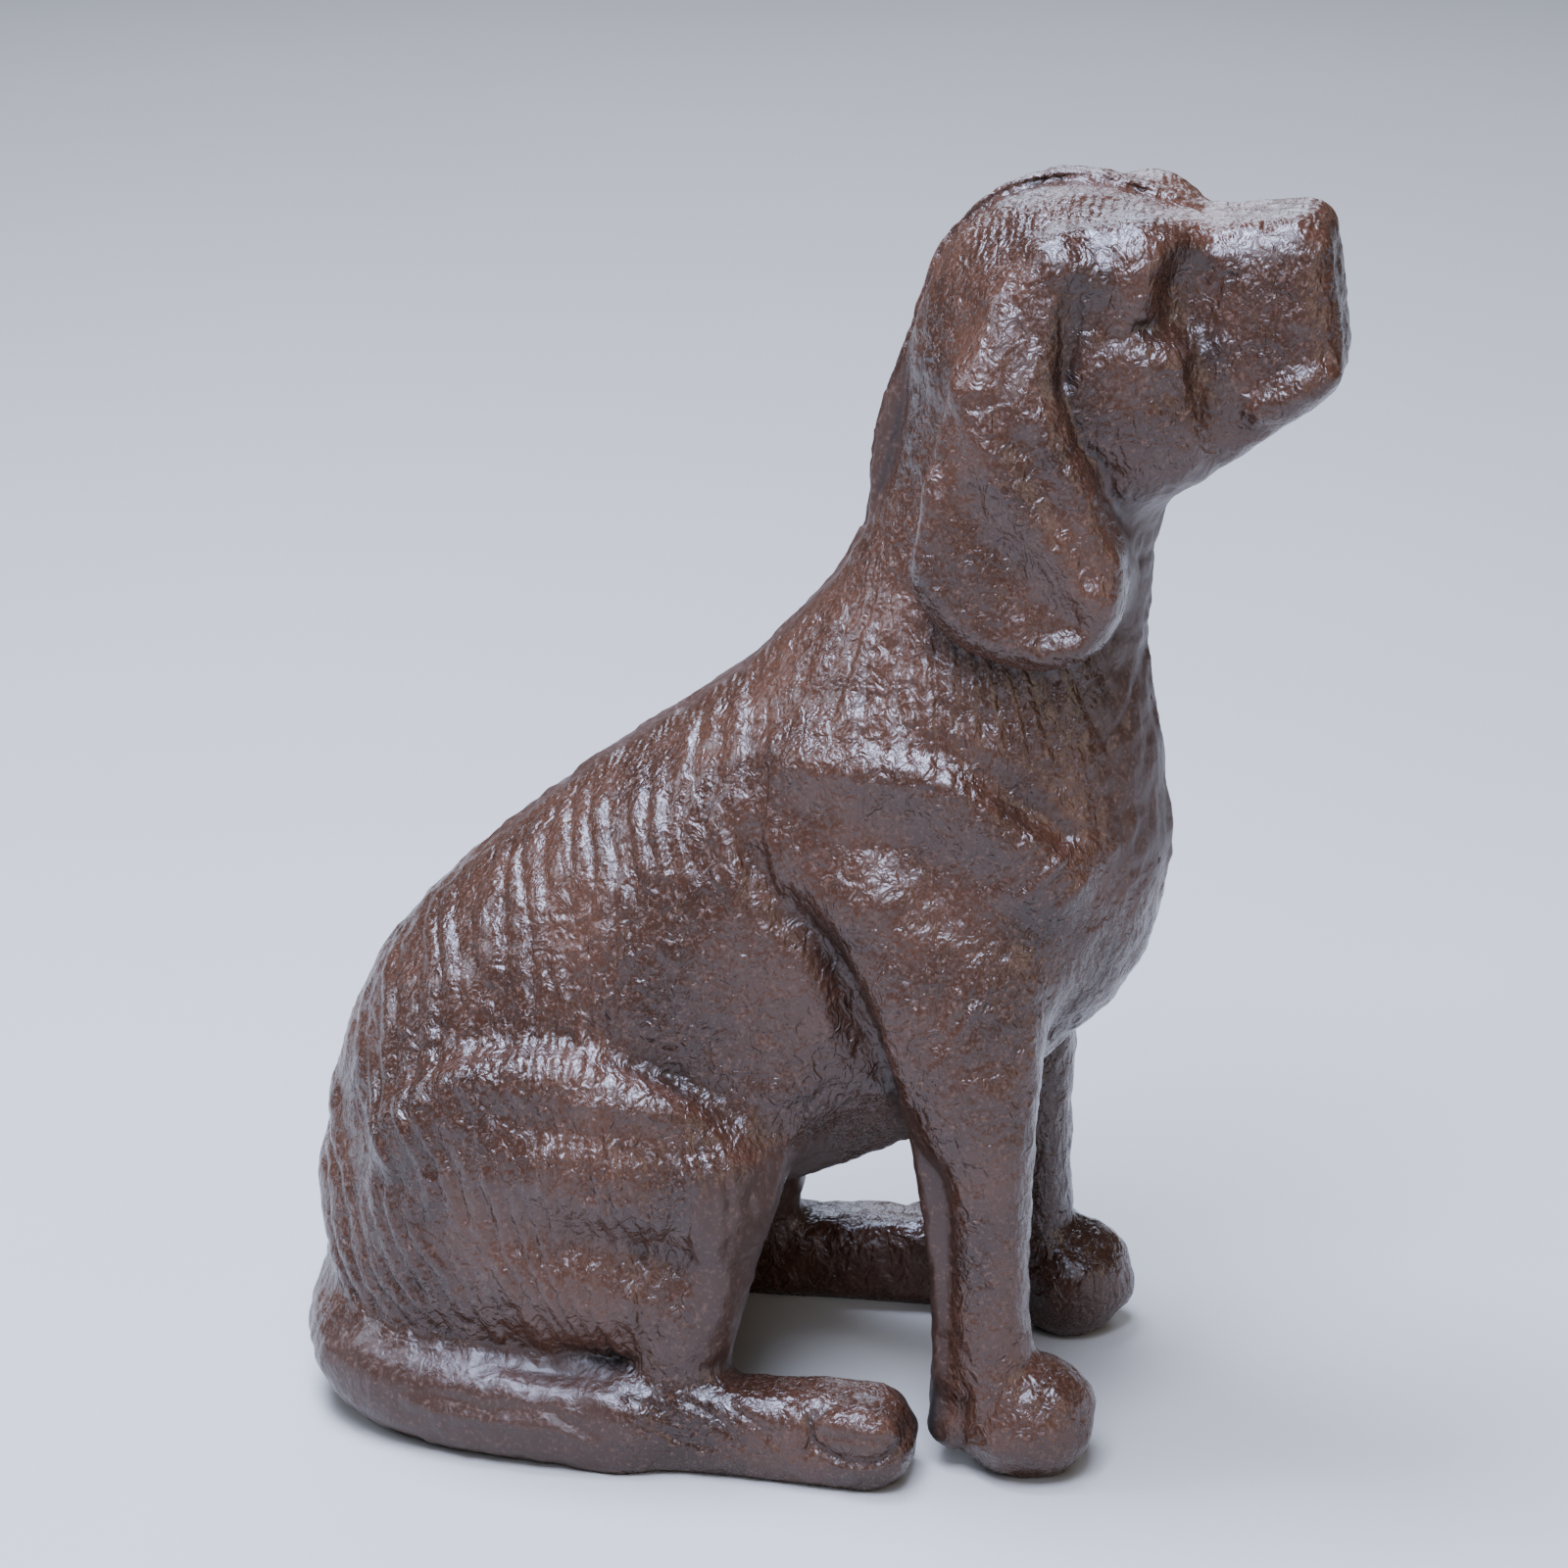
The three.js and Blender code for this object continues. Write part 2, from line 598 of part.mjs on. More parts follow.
function fillPinchedCell(values, start, stride) {
  const step = (bits, axis) => ((bits >> axis) & 1 ? stride[axis] : 0);
  const corner = (bits) => start + step(bits, 0) + step(bits, 1) + step(bits, 2);
  let inside = 0;
  for (let bits = 0; bits < 8; bits += 1) {
    inside |= values[corner(bits)] < 0 ? 1 << bits : 0;
  }
  if (inside === 0 || inside === 255 || (joined(inside) && joined(255 & ~inside) && !crossed(inside))) {
    return false;
  }
  for (let bits = 0; bits < 8; bits += 1) {
    values[corner(bits)] = Math.min(values[corner(bits)], -0.01 * GRID_STEP);
  }
  return true;
}

// Whether the corners in a set of bits are joined by the cell's edges
function joined(set) {
  let reached = set & -set;
  for (let step = 0; step < 4; step += 1) {
    const alongX = ((reached & 0x55) << 1) | ((reached & 0xaa) >> 1);
    const alongY = ((reached & 0x33) << 2) | ((reached & 0xcc) >> 2);
    const alongZ = ((reached & 0x0f) << 4) | ((reached & 0xf0) >> 4);
    reached |= (alongX | alongY | alongZ) & set;
  }
  return reached === set;
}

// Whether a face of the cell has only two opposite corners inside
function crossed(set) {
  const faces = [[0, 1, 3, 2], [4, 5, 7, 6], [0, 1, 5, 4], [2, 3, 7, 6], [0, 2, 6, 4], [1, 3, 7, 5]];
  return faces.some((face) => {
    const [a, b, c, d] = face.map((corner) => (set >> corner) & 1);
    return a === c && b === d && a !== b;
  });
}

// One vertex in each cell that the surface passes through, and one quad round each grid edge that it crosses
function skin({ values, size }) {
  const stride = [size[1] * size[2], size[2], 1];
  const vertexOf = new Int32Array(values.length).fill(-1);
  const vertices = [];
  const triangles = [];
  for (let i = 0; i + 1 < size[0]; i += 1) {
    for (let j = 0; j + 1 < size[1]; j += 1) {
      for (let k = 0; k + 1 < size[2]; k += 1) {
        const start = i * stride[0] + j * stride[1] + k;
        const point = crossingCentre(values, start, stride);
        if (point) {
          vertexOf[start] = vertices.length;
          const cell = [i, j, k].map((index, axis) => index + 0.5 + point[axis]);
          vertices.push(cell.map((count, axis) => BOX_LOW[axis] + count * GRID_STEP));
        }
      }
    }
  }
  for (let start = 0; start < values.length; start += 1) {
    for (let axis = 0; axis < 3; axis += 1) {
      const end = start + stride[axis];
      if (end < values.length && values[start] < 0 !== values[end] < 0) {
        const [across, up] = [stride[(axis + 1) % 3], stride[(axis + 2) % 3]];
        const ring = [start - across - up, start - up, start, start - across].map((cell) => vertexOf[cell]);
        const [a, b, c, d] = values[start] < 0 ? ring : ring.reverse();
        triangles.push([a, b, c], [a, c, d]);
      }
    }
  }
  return { vertices: vertices.map(settle), triangles };
}

function crossingCentre(values, start, stride) {
  const sum = [0, 0, 0];
  let count = 0;
  for (let axis = 0; axis < 3; axis += 1) {
    const [u, v] = [(axis + 1) % 3, (axis + 2) % 3];
    for (let corner = 0; corner < 4; corner += 1) {
      const [du, dv] = [corner & 1, corner >> 1];
      const from = start + du * stride[u] + dv * stride[v];
      const [a, b] = [values[from], values[from + stride[axis]]];
      if (a < 0 !== b < 0) {
        sum[axis] += a / (a - b);
        sum[u] += du;
        sum[v] += dv;
        count += 1;
      }
    }
  }
  return count ? sum.map((total) => total / count) : null;
}

// Moves a vertex onto the true surface, by less than half a cell
function settle([x, y, z]) {
  const probe = 0.2;
  const d = dogDistance(x, y, z);
  const slope = [
    (dogDistance(x + probe, y, z) - d) / probe,
    (dogDistance(x, y + probe, z) - d) / probe,
    (dogDistance(x, y, z + probe) - d) / probe,
  ];
  const steepness = square(slope[0]) + square(slope[1]) + square(slope[2]);
  const reach = 0.35 * GRID_STEP;
  const move = THREE.MathUtils.clamp(d / Math.max(steepness, 0.3), -reach, reach);
  return [x - move * slope[0], y - move * slope[1], z - move * slope[2]];
}

// Thinning: the edge whose loss changes the surface least is closed up, again and again.
// A vertex keeps the sum of its faces' squared distances as ten numbers.

function addPlane(sum, normal, offset, weight) {
  const row = [...normal, offset];
  let place = 0;
  for (let i = 0; i < 4; i += 1) {
    for (let j = i; j < 4; j += 1) {
      sum[place] += weight * row[i] * row[j];
      place += 1;
    }
  }
}

function errorAt(q, [x, y, z]) {
  return q[0] * x * x + 2 * q[1] * x * y + 2 * q[2] * x * z + 2 * q[3] * x
    + q[4] * y * y + 2 * q[5] * y * z + 2 * q[6] * y + q[7] * z * z + 2 * q[8] * z + q[9];
}

function bestPoint(q, a, b) {
  const matrix = new THREE.Matrix3().set(q[0], q[1], q[2], q[1], q[4], q[5], q[2], q[5], q[7]);
  const middle = a.map((value, i) => (value + b[i]) / 2);
  if (Math.abs(matrix.determinant()) > 1e-9) {
    const point = new THREE.Vector3(-q[3], -q[6], -q[8]).applyMatrix3(matrix.invert());
    const span = Math.hypot(a[0] - b[0], a[1] - b[1], a[2] - b[2]);
    if (point.distanceTo(new THREE.Vector3(...middle)) < span) {
      return point.toArray();
    }
  }
  return [middle, a, b].reduce((best, point) => (errorAt(q, point) < errorAt(q, best) ? point : best));
}

class Heap {
  items = [];

  push(item) {
    const { items } = this;
    let place = items.push(item) - 1;
    while (place > 0) {
      const parent = (place - 1) >> 1;
      if (items[parent].cost <= item.cost) {
        break;
      }
      items[place] = items[parent];
      place = parent;
    }
    items[place] = item;
  }

  pop() {
    const { items } = this;
    const top = items[0];
    const last = items.pop();
    if (items.length) {
      let place = 0;
      for (let child = 1; child < items.length; child = 2 * place + 1) {
        const hasTwin = child + 1 < items.length;
        const smaller = hasTwin && items[child + 1].cost < items[child].cost ? child + 1 : child;
        if (items[smaller].cost >= last.cost) {
          break;
        }
        items[place] = items[smaller];
        place = smaller;
      }
      items[place] = last;
    }
    return top;
  }
}

function faceNormal(a, b, c) {
  const [ux, uy, uz] = [b[0] - a[0], b[1] - a[1], b[2] - a[2]];
  const [vx, vy, vz] = [c[0] - a[0], c[1] - a[1], c[2] - a[2]];
  return [uy * vz - uz * vy, uz * vx - ux * vz, ux * vy - uy * vx];
}

function thin({ vertices, triangles }, kept) {
  const sums = vertices.map(() => new Float64Array(10));
  const facesOf = vertices.map(() => []);
  const age = new Int32Array(vertices.length);
  triangles.forEach((triangle, index) => {
    const corners = triangle.map((vertex) => vertices[vertex]);
    const normal = faceNormal(...corners);
    const length = Math.hypot(...normal) || 1;
    const unit = normal.map((value) => value / length);
    const offset = -(unit[0] * corners[0][0] + unit[1] * corners[0][1] + unit[2] * corners[0][2]);
    triangle.forEach((vertex) => {
      addPlane(sums[vertex], unit, offset, length / 2);
      facesOf[vertex].push(index);
    });
  });
  const alive = triangles.map(() => true);
  const heap = new Heap();
  const offer = (a, b) => {
    const sum = sums[a].map((value, i) => value + sums[b][i]);
    const point = bestPoint(sum, vertices[a], vertices[b]);
    const span = faceSpan(vertices[a], vertices[b]);
    heap.push({ cost: errorAt(sum, point) + 1e-4 * span, a, b, point, ages: age[a] + age[b] });
  };
  triangles.forEach(([a, b, c]) => {
    [[a, b], [b, c], [c, a]].filter(([from, to]) => from < to).forEach(([from, to]) => offer(from, to));
  });
  let count = triangles.length;
  while (count > kept && heap.items.length) {
    const { a, b, point, ages } = heap.pop();
    const fresh = ages === age[a] + age[b] && facesOf[a].length > 0 && facesOf[b].length > 0;
    if (fresh && mayClose(a, b, point, vertices, triangles, facesOf)) {
      const lost = facesOf[a].filter((face) => triangles[face].includes(b));
      lost.forEach((face) => {
        alive[face] = false;
        triangles[face].forEach((vertex) => {
          facesOf[vertex] = facesOf[vertex].filter((other) => other !== face);
        });
      });
      facesOf[b].forEach((face) => {
        triangles[face] = triangles[face].map((vertex) => (vertex === b ? a : vertex));
        facesOf[a].push(face);
      });
      facesOf[b] = [];
      vertices[a] = point;
      sums[a] = sums[a].map((value, i) => value + sums[b][i]);
      age[a] += 1;
      age[b] += 1;
      count -= lost.length;
      neighbours(a, triangles, facesOf).forEach((other) => offer(a, other));
    }
  }
  return { vertices, triangles: triangles.filter((_, index) => alive[index]) };
}

function faceSpan(a, b) {
  return square(a[0] - b[0]) + square(a[1] - b[1]) + square(a[2] - b[2]);
}

function neighbours(vertex, triangles, facesOf) {
  const found = new Set(facesOf[vertex].flatMap((face) => triangles[face]));
  found.delete(vertex);
  return found;
}

// An edge may close if that pinches nothing together, turns no face over and leaves no sliver.
function mayClose(a, b, point, vertices, triangles, facesOf) {
  const besideB = neighbours(b, triangles, facesOf);
  let shared = 0;
  neighbours(a, triangles, facesOf).forEach((vertex) => {
    shared += besideB.has(vertex) ? 1 : 0;
  });
  if (shared !== 2) {
    return false;
  }
  const stays = (moved, other) => facesOf[moved].every((face) => {
    const triangle = triangles[face];
    if (triangle.includes(other)) {
      return true;
    }
    const before = faceNormal(...triangle.map((vertex) => vertices[vertex]));
    const corners = triangle.map((vertex) => (vertex === moved ? point : vertices[vertex]));
    const after = faceNormal(...corners);
    const [old, now] = [Math.hypot(...before), Math.hypot(...after)];
    const turned = before[0] * after[0] + before[1] * after[1] + before[2] * after[2];
    const [p, q, r] = corners;
    const spans = faceSpan(p, q) + faceSpan(q, r) + faceSpan(r, p);
    return turned > 0.3 * old * now && now > 0.06 * spans;
  });
  return stays(a, b) && stays(b, a);
}

// Cutting with manifold-3d

const wasm = await Module();
wasm.setup();

function solidOf(positions, indices) {
  return new wasm.Manifold(new wasm.Mesh({ numProp: 3, vertProperties: positions, triVerts: indices }));
}

function geometryOf(solid) {
  const { vertProperties, triVerts } = solid.getMesh();
  const geometry = new THREE.BufferGeometry();
  geometry.setAttribute("position", new THREE.BufferAttribute(vertProperties, 3));
  geometry.setIndex(new THREE.BufferAttribute(triVerts, 1));
  return geometry;
}

// The ground that the feet, tail and rump are cut flat by
function groundSolid() {
  const depth = 60;
  const box = new THREE.BoxGeometry(300, 300, depth).translate(0, 0, -depth / 2);
  const corners = box.attributes.position.array;
  const seen = new Map();
  const positions = [];
  const indices = Array.from(box.index.array, (index) => {
    const corner = [...corners.slice(3 * index, 3 * index + 3)];
    const key = corner.join();
    if (!seen.has(key)) {
      seen.set(key, positions.length / 3);
      positions.push(...corner);
    }
    return seen.get(key);
  });
  return solidOf(new Float32Array(positions), new Uint32Array(indices));
}

function dogGeometry() {
  const grid = sampleGrid();
  fillPinches(grid);
  const { vertices, triangles } = thin(skin(grid), KEPT_TRIANGLES);
  const used = new Map();
  const positions = [];
  const indices = triangles.flat().map((vertex) => {
    if (!used.has(vertex)) {
      used.set(vertex, used.size);
      positions.push(...vertices[vertex]);
    }
    return used.get(vertex);
  });
  const rough = solidOf(new Float32Array(positions), new Uint32Array(indices));
  const geometry = geometryOf(rough.subtract(groundSolid()));
  geometry.computeBoundingBox();
  const middle = geometry.boundingBox.getCenter(new THREE.Vector3());
  return geometry.translate(-middle.x, -middle.y, 0);
}

const dog = new THREE.Mesh(dogGeometry(), new THREE.MeshStandardMaterial(LOOK));
dog.name = "dog";

const statue = new THREE.Group();
statue.add(dog);

export default statue;
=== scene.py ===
import math

import bpy
import numpy as np
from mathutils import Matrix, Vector


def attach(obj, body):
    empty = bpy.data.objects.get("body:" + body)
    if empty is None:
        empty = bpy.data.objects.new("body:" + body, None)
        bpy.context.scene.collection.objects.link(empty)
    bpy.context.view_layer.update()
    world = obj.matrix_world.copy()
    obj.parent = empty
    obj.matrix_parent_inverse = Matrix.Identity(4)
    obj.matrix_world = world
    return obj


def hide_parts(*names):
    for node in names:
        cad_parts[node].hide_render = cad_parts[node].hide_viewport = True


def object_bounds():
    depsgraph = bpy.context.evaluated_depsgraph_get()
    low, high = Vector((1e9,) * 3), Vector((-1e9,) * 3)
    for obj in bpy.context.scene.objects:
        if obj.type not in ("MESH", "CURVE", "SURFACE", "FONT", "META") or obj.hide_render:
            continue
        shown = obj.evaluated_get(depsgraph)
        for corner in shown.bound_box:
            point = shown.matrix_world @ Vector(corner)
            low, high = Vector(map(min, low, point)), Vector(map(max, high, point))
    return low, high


# The looks of a cast iron statue of a sitting hound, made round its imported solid.
# The form is worked out in millimetres, with +X the way the dog faces, +Y its left and +Z up.
# It is the solid's own blend of masses, sampled finer and with the relief of the cast surface added.

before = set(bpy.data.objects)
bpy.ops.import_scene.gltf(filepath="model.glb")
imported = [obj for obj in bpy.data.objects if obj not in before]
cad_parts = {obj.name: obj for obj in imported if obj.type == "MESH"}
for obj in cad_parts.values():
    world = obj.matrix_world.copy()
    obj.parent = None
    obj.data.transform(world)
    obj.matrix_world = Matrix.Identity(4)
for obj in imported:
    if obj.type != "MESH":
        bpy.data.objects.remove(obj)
cad_low, cad_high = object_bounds()
MM = 0.001

# Driving dimensions, in millimetres
COAT_HEIGHT = 0.8
FLANK_PITCH = 3.6
MANE_PITCH = 3
WITHERS_PITCH = 3.7
FUR_SWEEP = 38.5
STROKE_PITCH = 1.4
FUR_SWEEP_HEIGHT = 35
MOULD_SHIFT_BACK = 0.5
MOULD_SHIFT_UP = 1.5
EAR_STAND_OFF = 28.2
EAR_TOP_INSET = 7.2
EAR_TIP_INSET = 1.2
EAR_ROUNDING = 5
EAR_BACK = 8
MUZZLE_ROUNDING = 5
JAW_POINT = [81.5, 164.6]
JAW_NORMAL = [0.574, -0.819]
CORE = 0.3

# How far each mass blends into what it joins, or each groove into what it cuts
BLEND = {
    "chest": 8, "neck": 11, "belly": 8, "thigh": 6, "shoulder": 6, "blade": 7, "shoulder_hollow": 6,
    "arm": 4, "foreleg": 5, "foreleg_web": 1.5, "thigh_ridge": 5, "thigh_muscle": 5, "calf": 4,
    "shank": 8, "ham": 8, "knee": 3, "paw": 3, "hind_foot": 3, "toe": 1.5, "skull": 6, "cheek": 6,
    "brow": 3.5, "eye_socket": 4.5, "eye_pouch": 2.5, "lip": 3, "eye_slit": 1.2,
    "cheek_groove": 4.5, "ear_crease": 2, "nape_flash": 1, "blade_groove": 3, "armpit_groove": 4,
    "tail": 4, "tail_crest": 3, "jaw": 4, "muzzle": 7, "ear": 1.6, "ear_root": 7.6,
}

# The skin: the box that is sampled, its grids and the triangles that are kept
BOX_LOW = [-90, -52, -6]
BOX_HIGH = [94, 52, 202]
GRID_STEPS = [4, 2, 1, 0.5]
KEPT_TRIANGLES = 190000


def smooth_union(a, b, blend):
    near = np.maximum(blend - np.abs(a - b), 0.0) / blend
    return np.minimum(a, b) - near * near * blend * 0.25


def smooth_meet(a, b, blend):
    return -smooth_union(-a, -b, blend)


def ramp(start, end, value):
    t = np.clip((value - start) / (end - start), 0, 1)
    return t * t * (3 - 2 * t)


def bell(distance, width):
    return np.exp(-((distance / width) ** 2))


def turned(a, b, degrees):
    """The two coordinates after a turn of the axes by that angle."""
    c, s = np.cos(np.radians(degrees)), np.sin(np.radians(degrees))
    return c * a + s * b, c * b - s * a


class Mass:
    """An ellipsoid. Tilt raises its front end and splay turns its front end outwards, in degrees."""

    def __init__(self, centre, radii, tilt=0.0, splay=0.0):
        self.centre, self.radii, self.tilt, self.splay = centre, radii, tilt, splay
        reach = [max(radii)] * 3 if tilt or splay else radii
        self.low = [c - r for c, r in zip(centre, reach)]
        self.high = [c + r for c, r in zip(centre, reach)]

    def distance(self, x, y, z):
        x, y, z = x - self.centre[0], y - self.centre[1], z - self.centre[2]
        if self.splay:
            x, y = turned(x, y, self.splay)
        if self.tilt:
            x, z = turned(x, z, self.tilt)
        a, b, c = self.radii
        scaled = np.sqrt((x / a) ** 2 + (y / b) ** 2 + (z / c) ** 2)
        slope = np.sqrt((x / a**2) ** 2 + (y / b**2) ** 2 + (z / c**2) ** 2)
        return (scaled - 1) * (scaled + CORE) / (slope + CORE / min(self.radii))


def smooth_curve(stations, steps=4):
    """A curve through the stations, carrying all their numbers along."""
    given = np.array(stations, float)
    padded = np.vstack([2 * given[0] - given[1], given, 2 * given[-1] - given[-2]])
    points = []
    for a, b, c, d in zip(padded, padded[1:], padded[2:], padded[3:]):
        for t in np.arange(steps) / steps:
            square, cube = 2 * a - 5 * b + 4 * c - d, 3 * b - a - 3 * c + d
            points.append(0.5 * (2 * b + (c - a) * t + square * t**2 + cube * t**3))
    return np.array(points + [given[-1]])


class Limb:
    """A tapering tube through stations [x, y, z, radius seen from the side, half its thickness].
    A squareness over 2 makes its section boxier."""

    def __init__(self, stations, squareness=2):
        self.points, self.squareness = smooth_curve(stations), squareness
        reach = self.points[:, 3:].max(1)[:, None]
        self.low = (self.points[:, :3] - reach).min(0)
        self.high = (self.points[:, :3] + reach).max(0)

    def distance(self, x, y, z):
        best = np.full(x.shape, np.inf, x.dtype)
        n = self.squareness
        for a, b in zip(self.points, self.points[1:]):
            squash = a[4] / a[3]
            dx, dy, dz = b[0] - a[0], (b[1] - a[1]) / squash, b[2] - a[2]
            ox, oy, oz = x - a[0], (y - a[1]) / squash, z - a[2]
            t = np.clip((ox * dx + oy * dy + oz * dz) / (dx * dx + dy * dy + dz * dz), 0, 1)
            radius = a[3] + (b[3] - a[3]) * t
            thickness = a[4] + (b[4] - a[4]) * t
            beside = np.hypot(ox - dx * t, oz - dz * t) / radius
            through = np.abs(oy - dy * t) * squash / thickness
            scaled = np.hypot(beside, through) if n == 2 else (beside**n + through**n) ** (1 / n)
            slope = np.hypot(beside / radius, through / thickness)
            core = CORE / np.minimum(radius, thickness)
            best = np.minimum(best, (scaled - 1) * (scaled + CORE) / (slope + core))
        return best


class Block:
    """A block that narrows forwards. Tilt raises its front end, in degrees, and crown bulges its sides."""

    def __init__(self, centre, half, rounding, tilt, taper, crown):
        self.centre, self.half, self.rounding = centre, half, rounding
        self.tilt, self.taper, self.crown = tilt, taper, crown

    def distance(self, x, y, z):
        x, z = turned(x - self.centre[0], z - self.centre[2], self.tilt)
        u = np.abs(x) - self.half[0] + self.rounding
        v = np.abs(y - self.centre[1]) - self.half[1] + self.rounding + self.taper * x
        v += self.crown * (z / self.half[2]) ** 2
        w = np.abs(z) - self.half[2] + self.rounding
        outside = np.sqrt(np.maximum(u, 0) ** 2 + np.maximum(v, 0) ** 2 + np.maximum(w, 0) ** 2)
        return outside + np.minimum(np.maximum(np.maximum(u, v), w), 0) - self.rounding


class Strip:
    """A line in the side view through points [x, z, radius], where the radius may be left out."""

    def __init__(self, points):
        self.points = [(p[0], p[1], p[2] if len(p) > 2 else 0.0) for p in points]

    def distance(self, x, z):
        best = np.full(x.shape, np.inf, x.dtype)
        for (ax, az, ar), (bx, bz, br) in zip(self.points, self.points[1:]):
            span = (bx - ax) ** 2 + (bz - az) ** 2
            t = np.clip(((x - ax) * (bx - ax) + (z - az) * (bz - az)) / span, 0, 1)
            gap = np.hypot(x - ax - (bx - ax) * t, z - az - (bz - az) * t)
            best = np.minimum(best, gap - ar - (br - ar) * t)
        return best


def gap_to(shape, x, y, z):
    dx = np.maximum(np.maximum(shape.low[0] - x, x - shape.high[0]), 0)
    dy = np.maximum(np.maximum(shape.low[1] - y, y - shape.high[1]), 0)
    dz = np.maximum(np.maximum(shape.low[2] - z, z - shape.high[2]), 0)
    return np.sqrt(dx * dx + dy * dy + dz * dz)


def join(d, shape, p, blend):
    near = gap_to(shape, *p) < d + blend
    if near.any():
        d = d.copy()
        d[near] = smooth_union(d[near], shape.distance(*(v[near] for v in p)), blend)
    return d


def carve(d, shape, p, blend):
    near = (gap_to(shape, *p) < blend + 2 - d) & (d < 6)
    if near.any():
        d = d.copy()
        d[near] = smooth_meet(d[near], -shape.distance(*(v[near] for v in p)), blend)
    return d


BARREL = Limb([
  [-44, 0, 30, 29, 32.5],
  [-36.5, 0, 51.5, 31, 31.5],
  [-15, 0, 71.5, 31.5, 29],
  [7, 0, 86, 32.5, 27],
  [24, 0, 95, 31.5, 25.5]])
CHEST = Mass([27.5, 0, 84], [29.2, 25.5, 27.5])
BELLY = Limb([
  [-25, 0, 55, 27, 27],
  [-5, 0, 61.7, 27.5, 26],
  [14, 0, 69.8, 27, 24.5]])
NECK = Limb([
  [25.5, 0, 104, 30, 24],
  [31.2, 0, 125, 23.6, 20],
  [35.9, 0, 143, 20.3, 18.5],
  [39.2, 0, 160, 20.2, 19]])
SHOULDER = Mass([24, 17.5, 88], [23, 11.5, 23.5], 28)
BLADE = Limb([
  [8, 21, 109.6, 3.4, 3.6],
  [18, 23, 110, 4, 3.8],
  [28, 23.4, 107.2, 4.2, 3.9],
  [37, 22.8, 100.8, 3.8, 3.8],
  [43, 21, 93.6, 3, 3.4]])
BLADE_GROOVE = Limb([
  [6, 24.9, 114.6, 1.2, 1.4],
  [12, 26.8, 115, 1.7, 1.7],
  [22, 27.3, 115, 2.1, 1.9],
  [31, 26.9, 112.4, 2.1, 1.9],
  [39, 25.8, 106.8, 1.9, 1.8],
  [46, 23.2, 100, 1.2, 1.5]])
SHOULDER_HOLLOW = Mass([24, 37, 97.5], [13, 8, 9], -15)
ARM = Limb([
  [19, 25.5, 88, 8, 6],
  [21.5, 26, 80, 8.5, 6.5],
  [26, 26.2, 70, 8.5, 7],
  [31.5, 26.2, 58, 7.4, 7.2]])
ARMPIT_GROOVE = Limb([
  [-2.5, 28, 97, 2, 4],
  [4, 29.5, 89, 2.2, 4.5],
  [11.2, 29.5, 81, 2.6, 5],
  [15.6, 28.5, 72, 2.8, 5],
  [19.2, 27, 62, 2.4, 4]])
FORELEG = Limb([
  [31, 24.5, 74, 12.5, 7.4],
  [33.6, 25.6, 62, 9.4, 7.4],
  [35.2, 26, 52, 7.2, 7.3],
  [36, 26, 42, 5.9, 7.2],
  [36.2, 26, 28, 5.6, 7],
  [36.3, 26, 15, 5.9, 7]], 2.4)
FORELEG_WEB = Limb([
  [24.5, 23.5, 68, 6, 5],
  [27.4, 24, 54, 4.4, 4.4],
  [29.8, 24.5, 40, 4.1, 4.2],
  [31.2, 24.7, 24, 4.1, 4.2],
  [31.8, 25.4, 8, 4.8, 5.2]], 3)
PAW = Mass([41.8, 26, 8.5], [10.4, 9.6, 9.6])
THIGH = Mass([-31, 25.5, 37], [27.5, 12.5, 24.5], -10)
THIGH_RIDGE = Limb([
  [-53, 29.3, 49, 4, 3.6],
  [-43, 32.6, 56.8, 4.8, 3.7],
  [-29, 33.6, 59, 5, 3.7],
  [-14, 33.5, 56, 4.8, 3.7],
  [-4, 32, 49, 3.8, 3.6]])
THIGH_MUSCLE = Mass([-23, 33, 46.5], [18, 6.2, 10], -14)
CALF = Mass([-25, 33, 27.5], [15, 6, 8], -8)
SHANK = Limb([
  [-0.5, 21, 55, 7, 5],
  [-3.3, 26.5, 43, 7, 5.5],
  [-7.4, 29.2, 28, 6.6, 5.4],
  [-10, 31, 13, 6.6, 5.6]], 2.3)
HAM = Mass([-40, 18.5, 17], [25, 13, 17])
KNEE = Limb([
  [-6.5, 32, 47, 4, 5.5],
  [-4.5, 32.5, 36, 4.2, 5.5],
  [-6.5, 32, 24, 4, 5.2],
  [-13, 31.5, 13, 4, 5]])
HIND_FOOT = Limb([
  [-20, 33, 6.6, 7.4, 6.8],
  [-6, 33, 6.6, 7.2, 6.8],
  [8, 33.5, 6.8, 7.4, 7.2],
  [18.5, 34, 6.8, 7.6, 7.4]], 3)
TOE = Mass([18, 37.6, 10.2], [6.8, 4.7, 3.8])
TAIL = Limb([
  [-58, 8, 17, 8, 7],
  [-63.5, -3, 15, 8, 7.5],
  [-64.2, -15, 11.5, 8, 7.5],
  [-58.5, -26.5, 9, 7.8, 6.8],
  [-47, -33, 7.8, 7.4, 6],
  [-33, -36, 7.2, 7, 5.5],
  [-19, -36.5, 6.6, 6.4, 5]], 2.7)
TAIL_CREST = Limb([
  [-66, -14, 20, 1.4, 1.6],
  [-60, -26.5, 16, 1.5, 1.8],
  [-48, -32, 14.4, 1.5, 1.8],
  [-36, -33.5, 14, 1.5, 1.8],
  [-27, -33.5, 14.8, 1.6, 1.8],
  [-19, -35, 12.6, 1.4, 1.6]])
SKULL = Mass([43.4, 0, 170.6], [22.7, 20.5, 22])
MUZZLE = Block([64.2, 0, 169.2], [18.5, 13.6, 19.5], MUZZLE_ROUNDING, 7.5, 0.06, 2.4)
BROW = Mass([54, 12.2, 181.6], [9, 8, 9], 0, -20)
CHEEK = Mass([51, 12.5, 162.5], [14.5, 7.5, 12])
EYE_POUCH = Mass([57, 15.5, 170.6], [8.5, 4.2, 3.8], 8, -18)
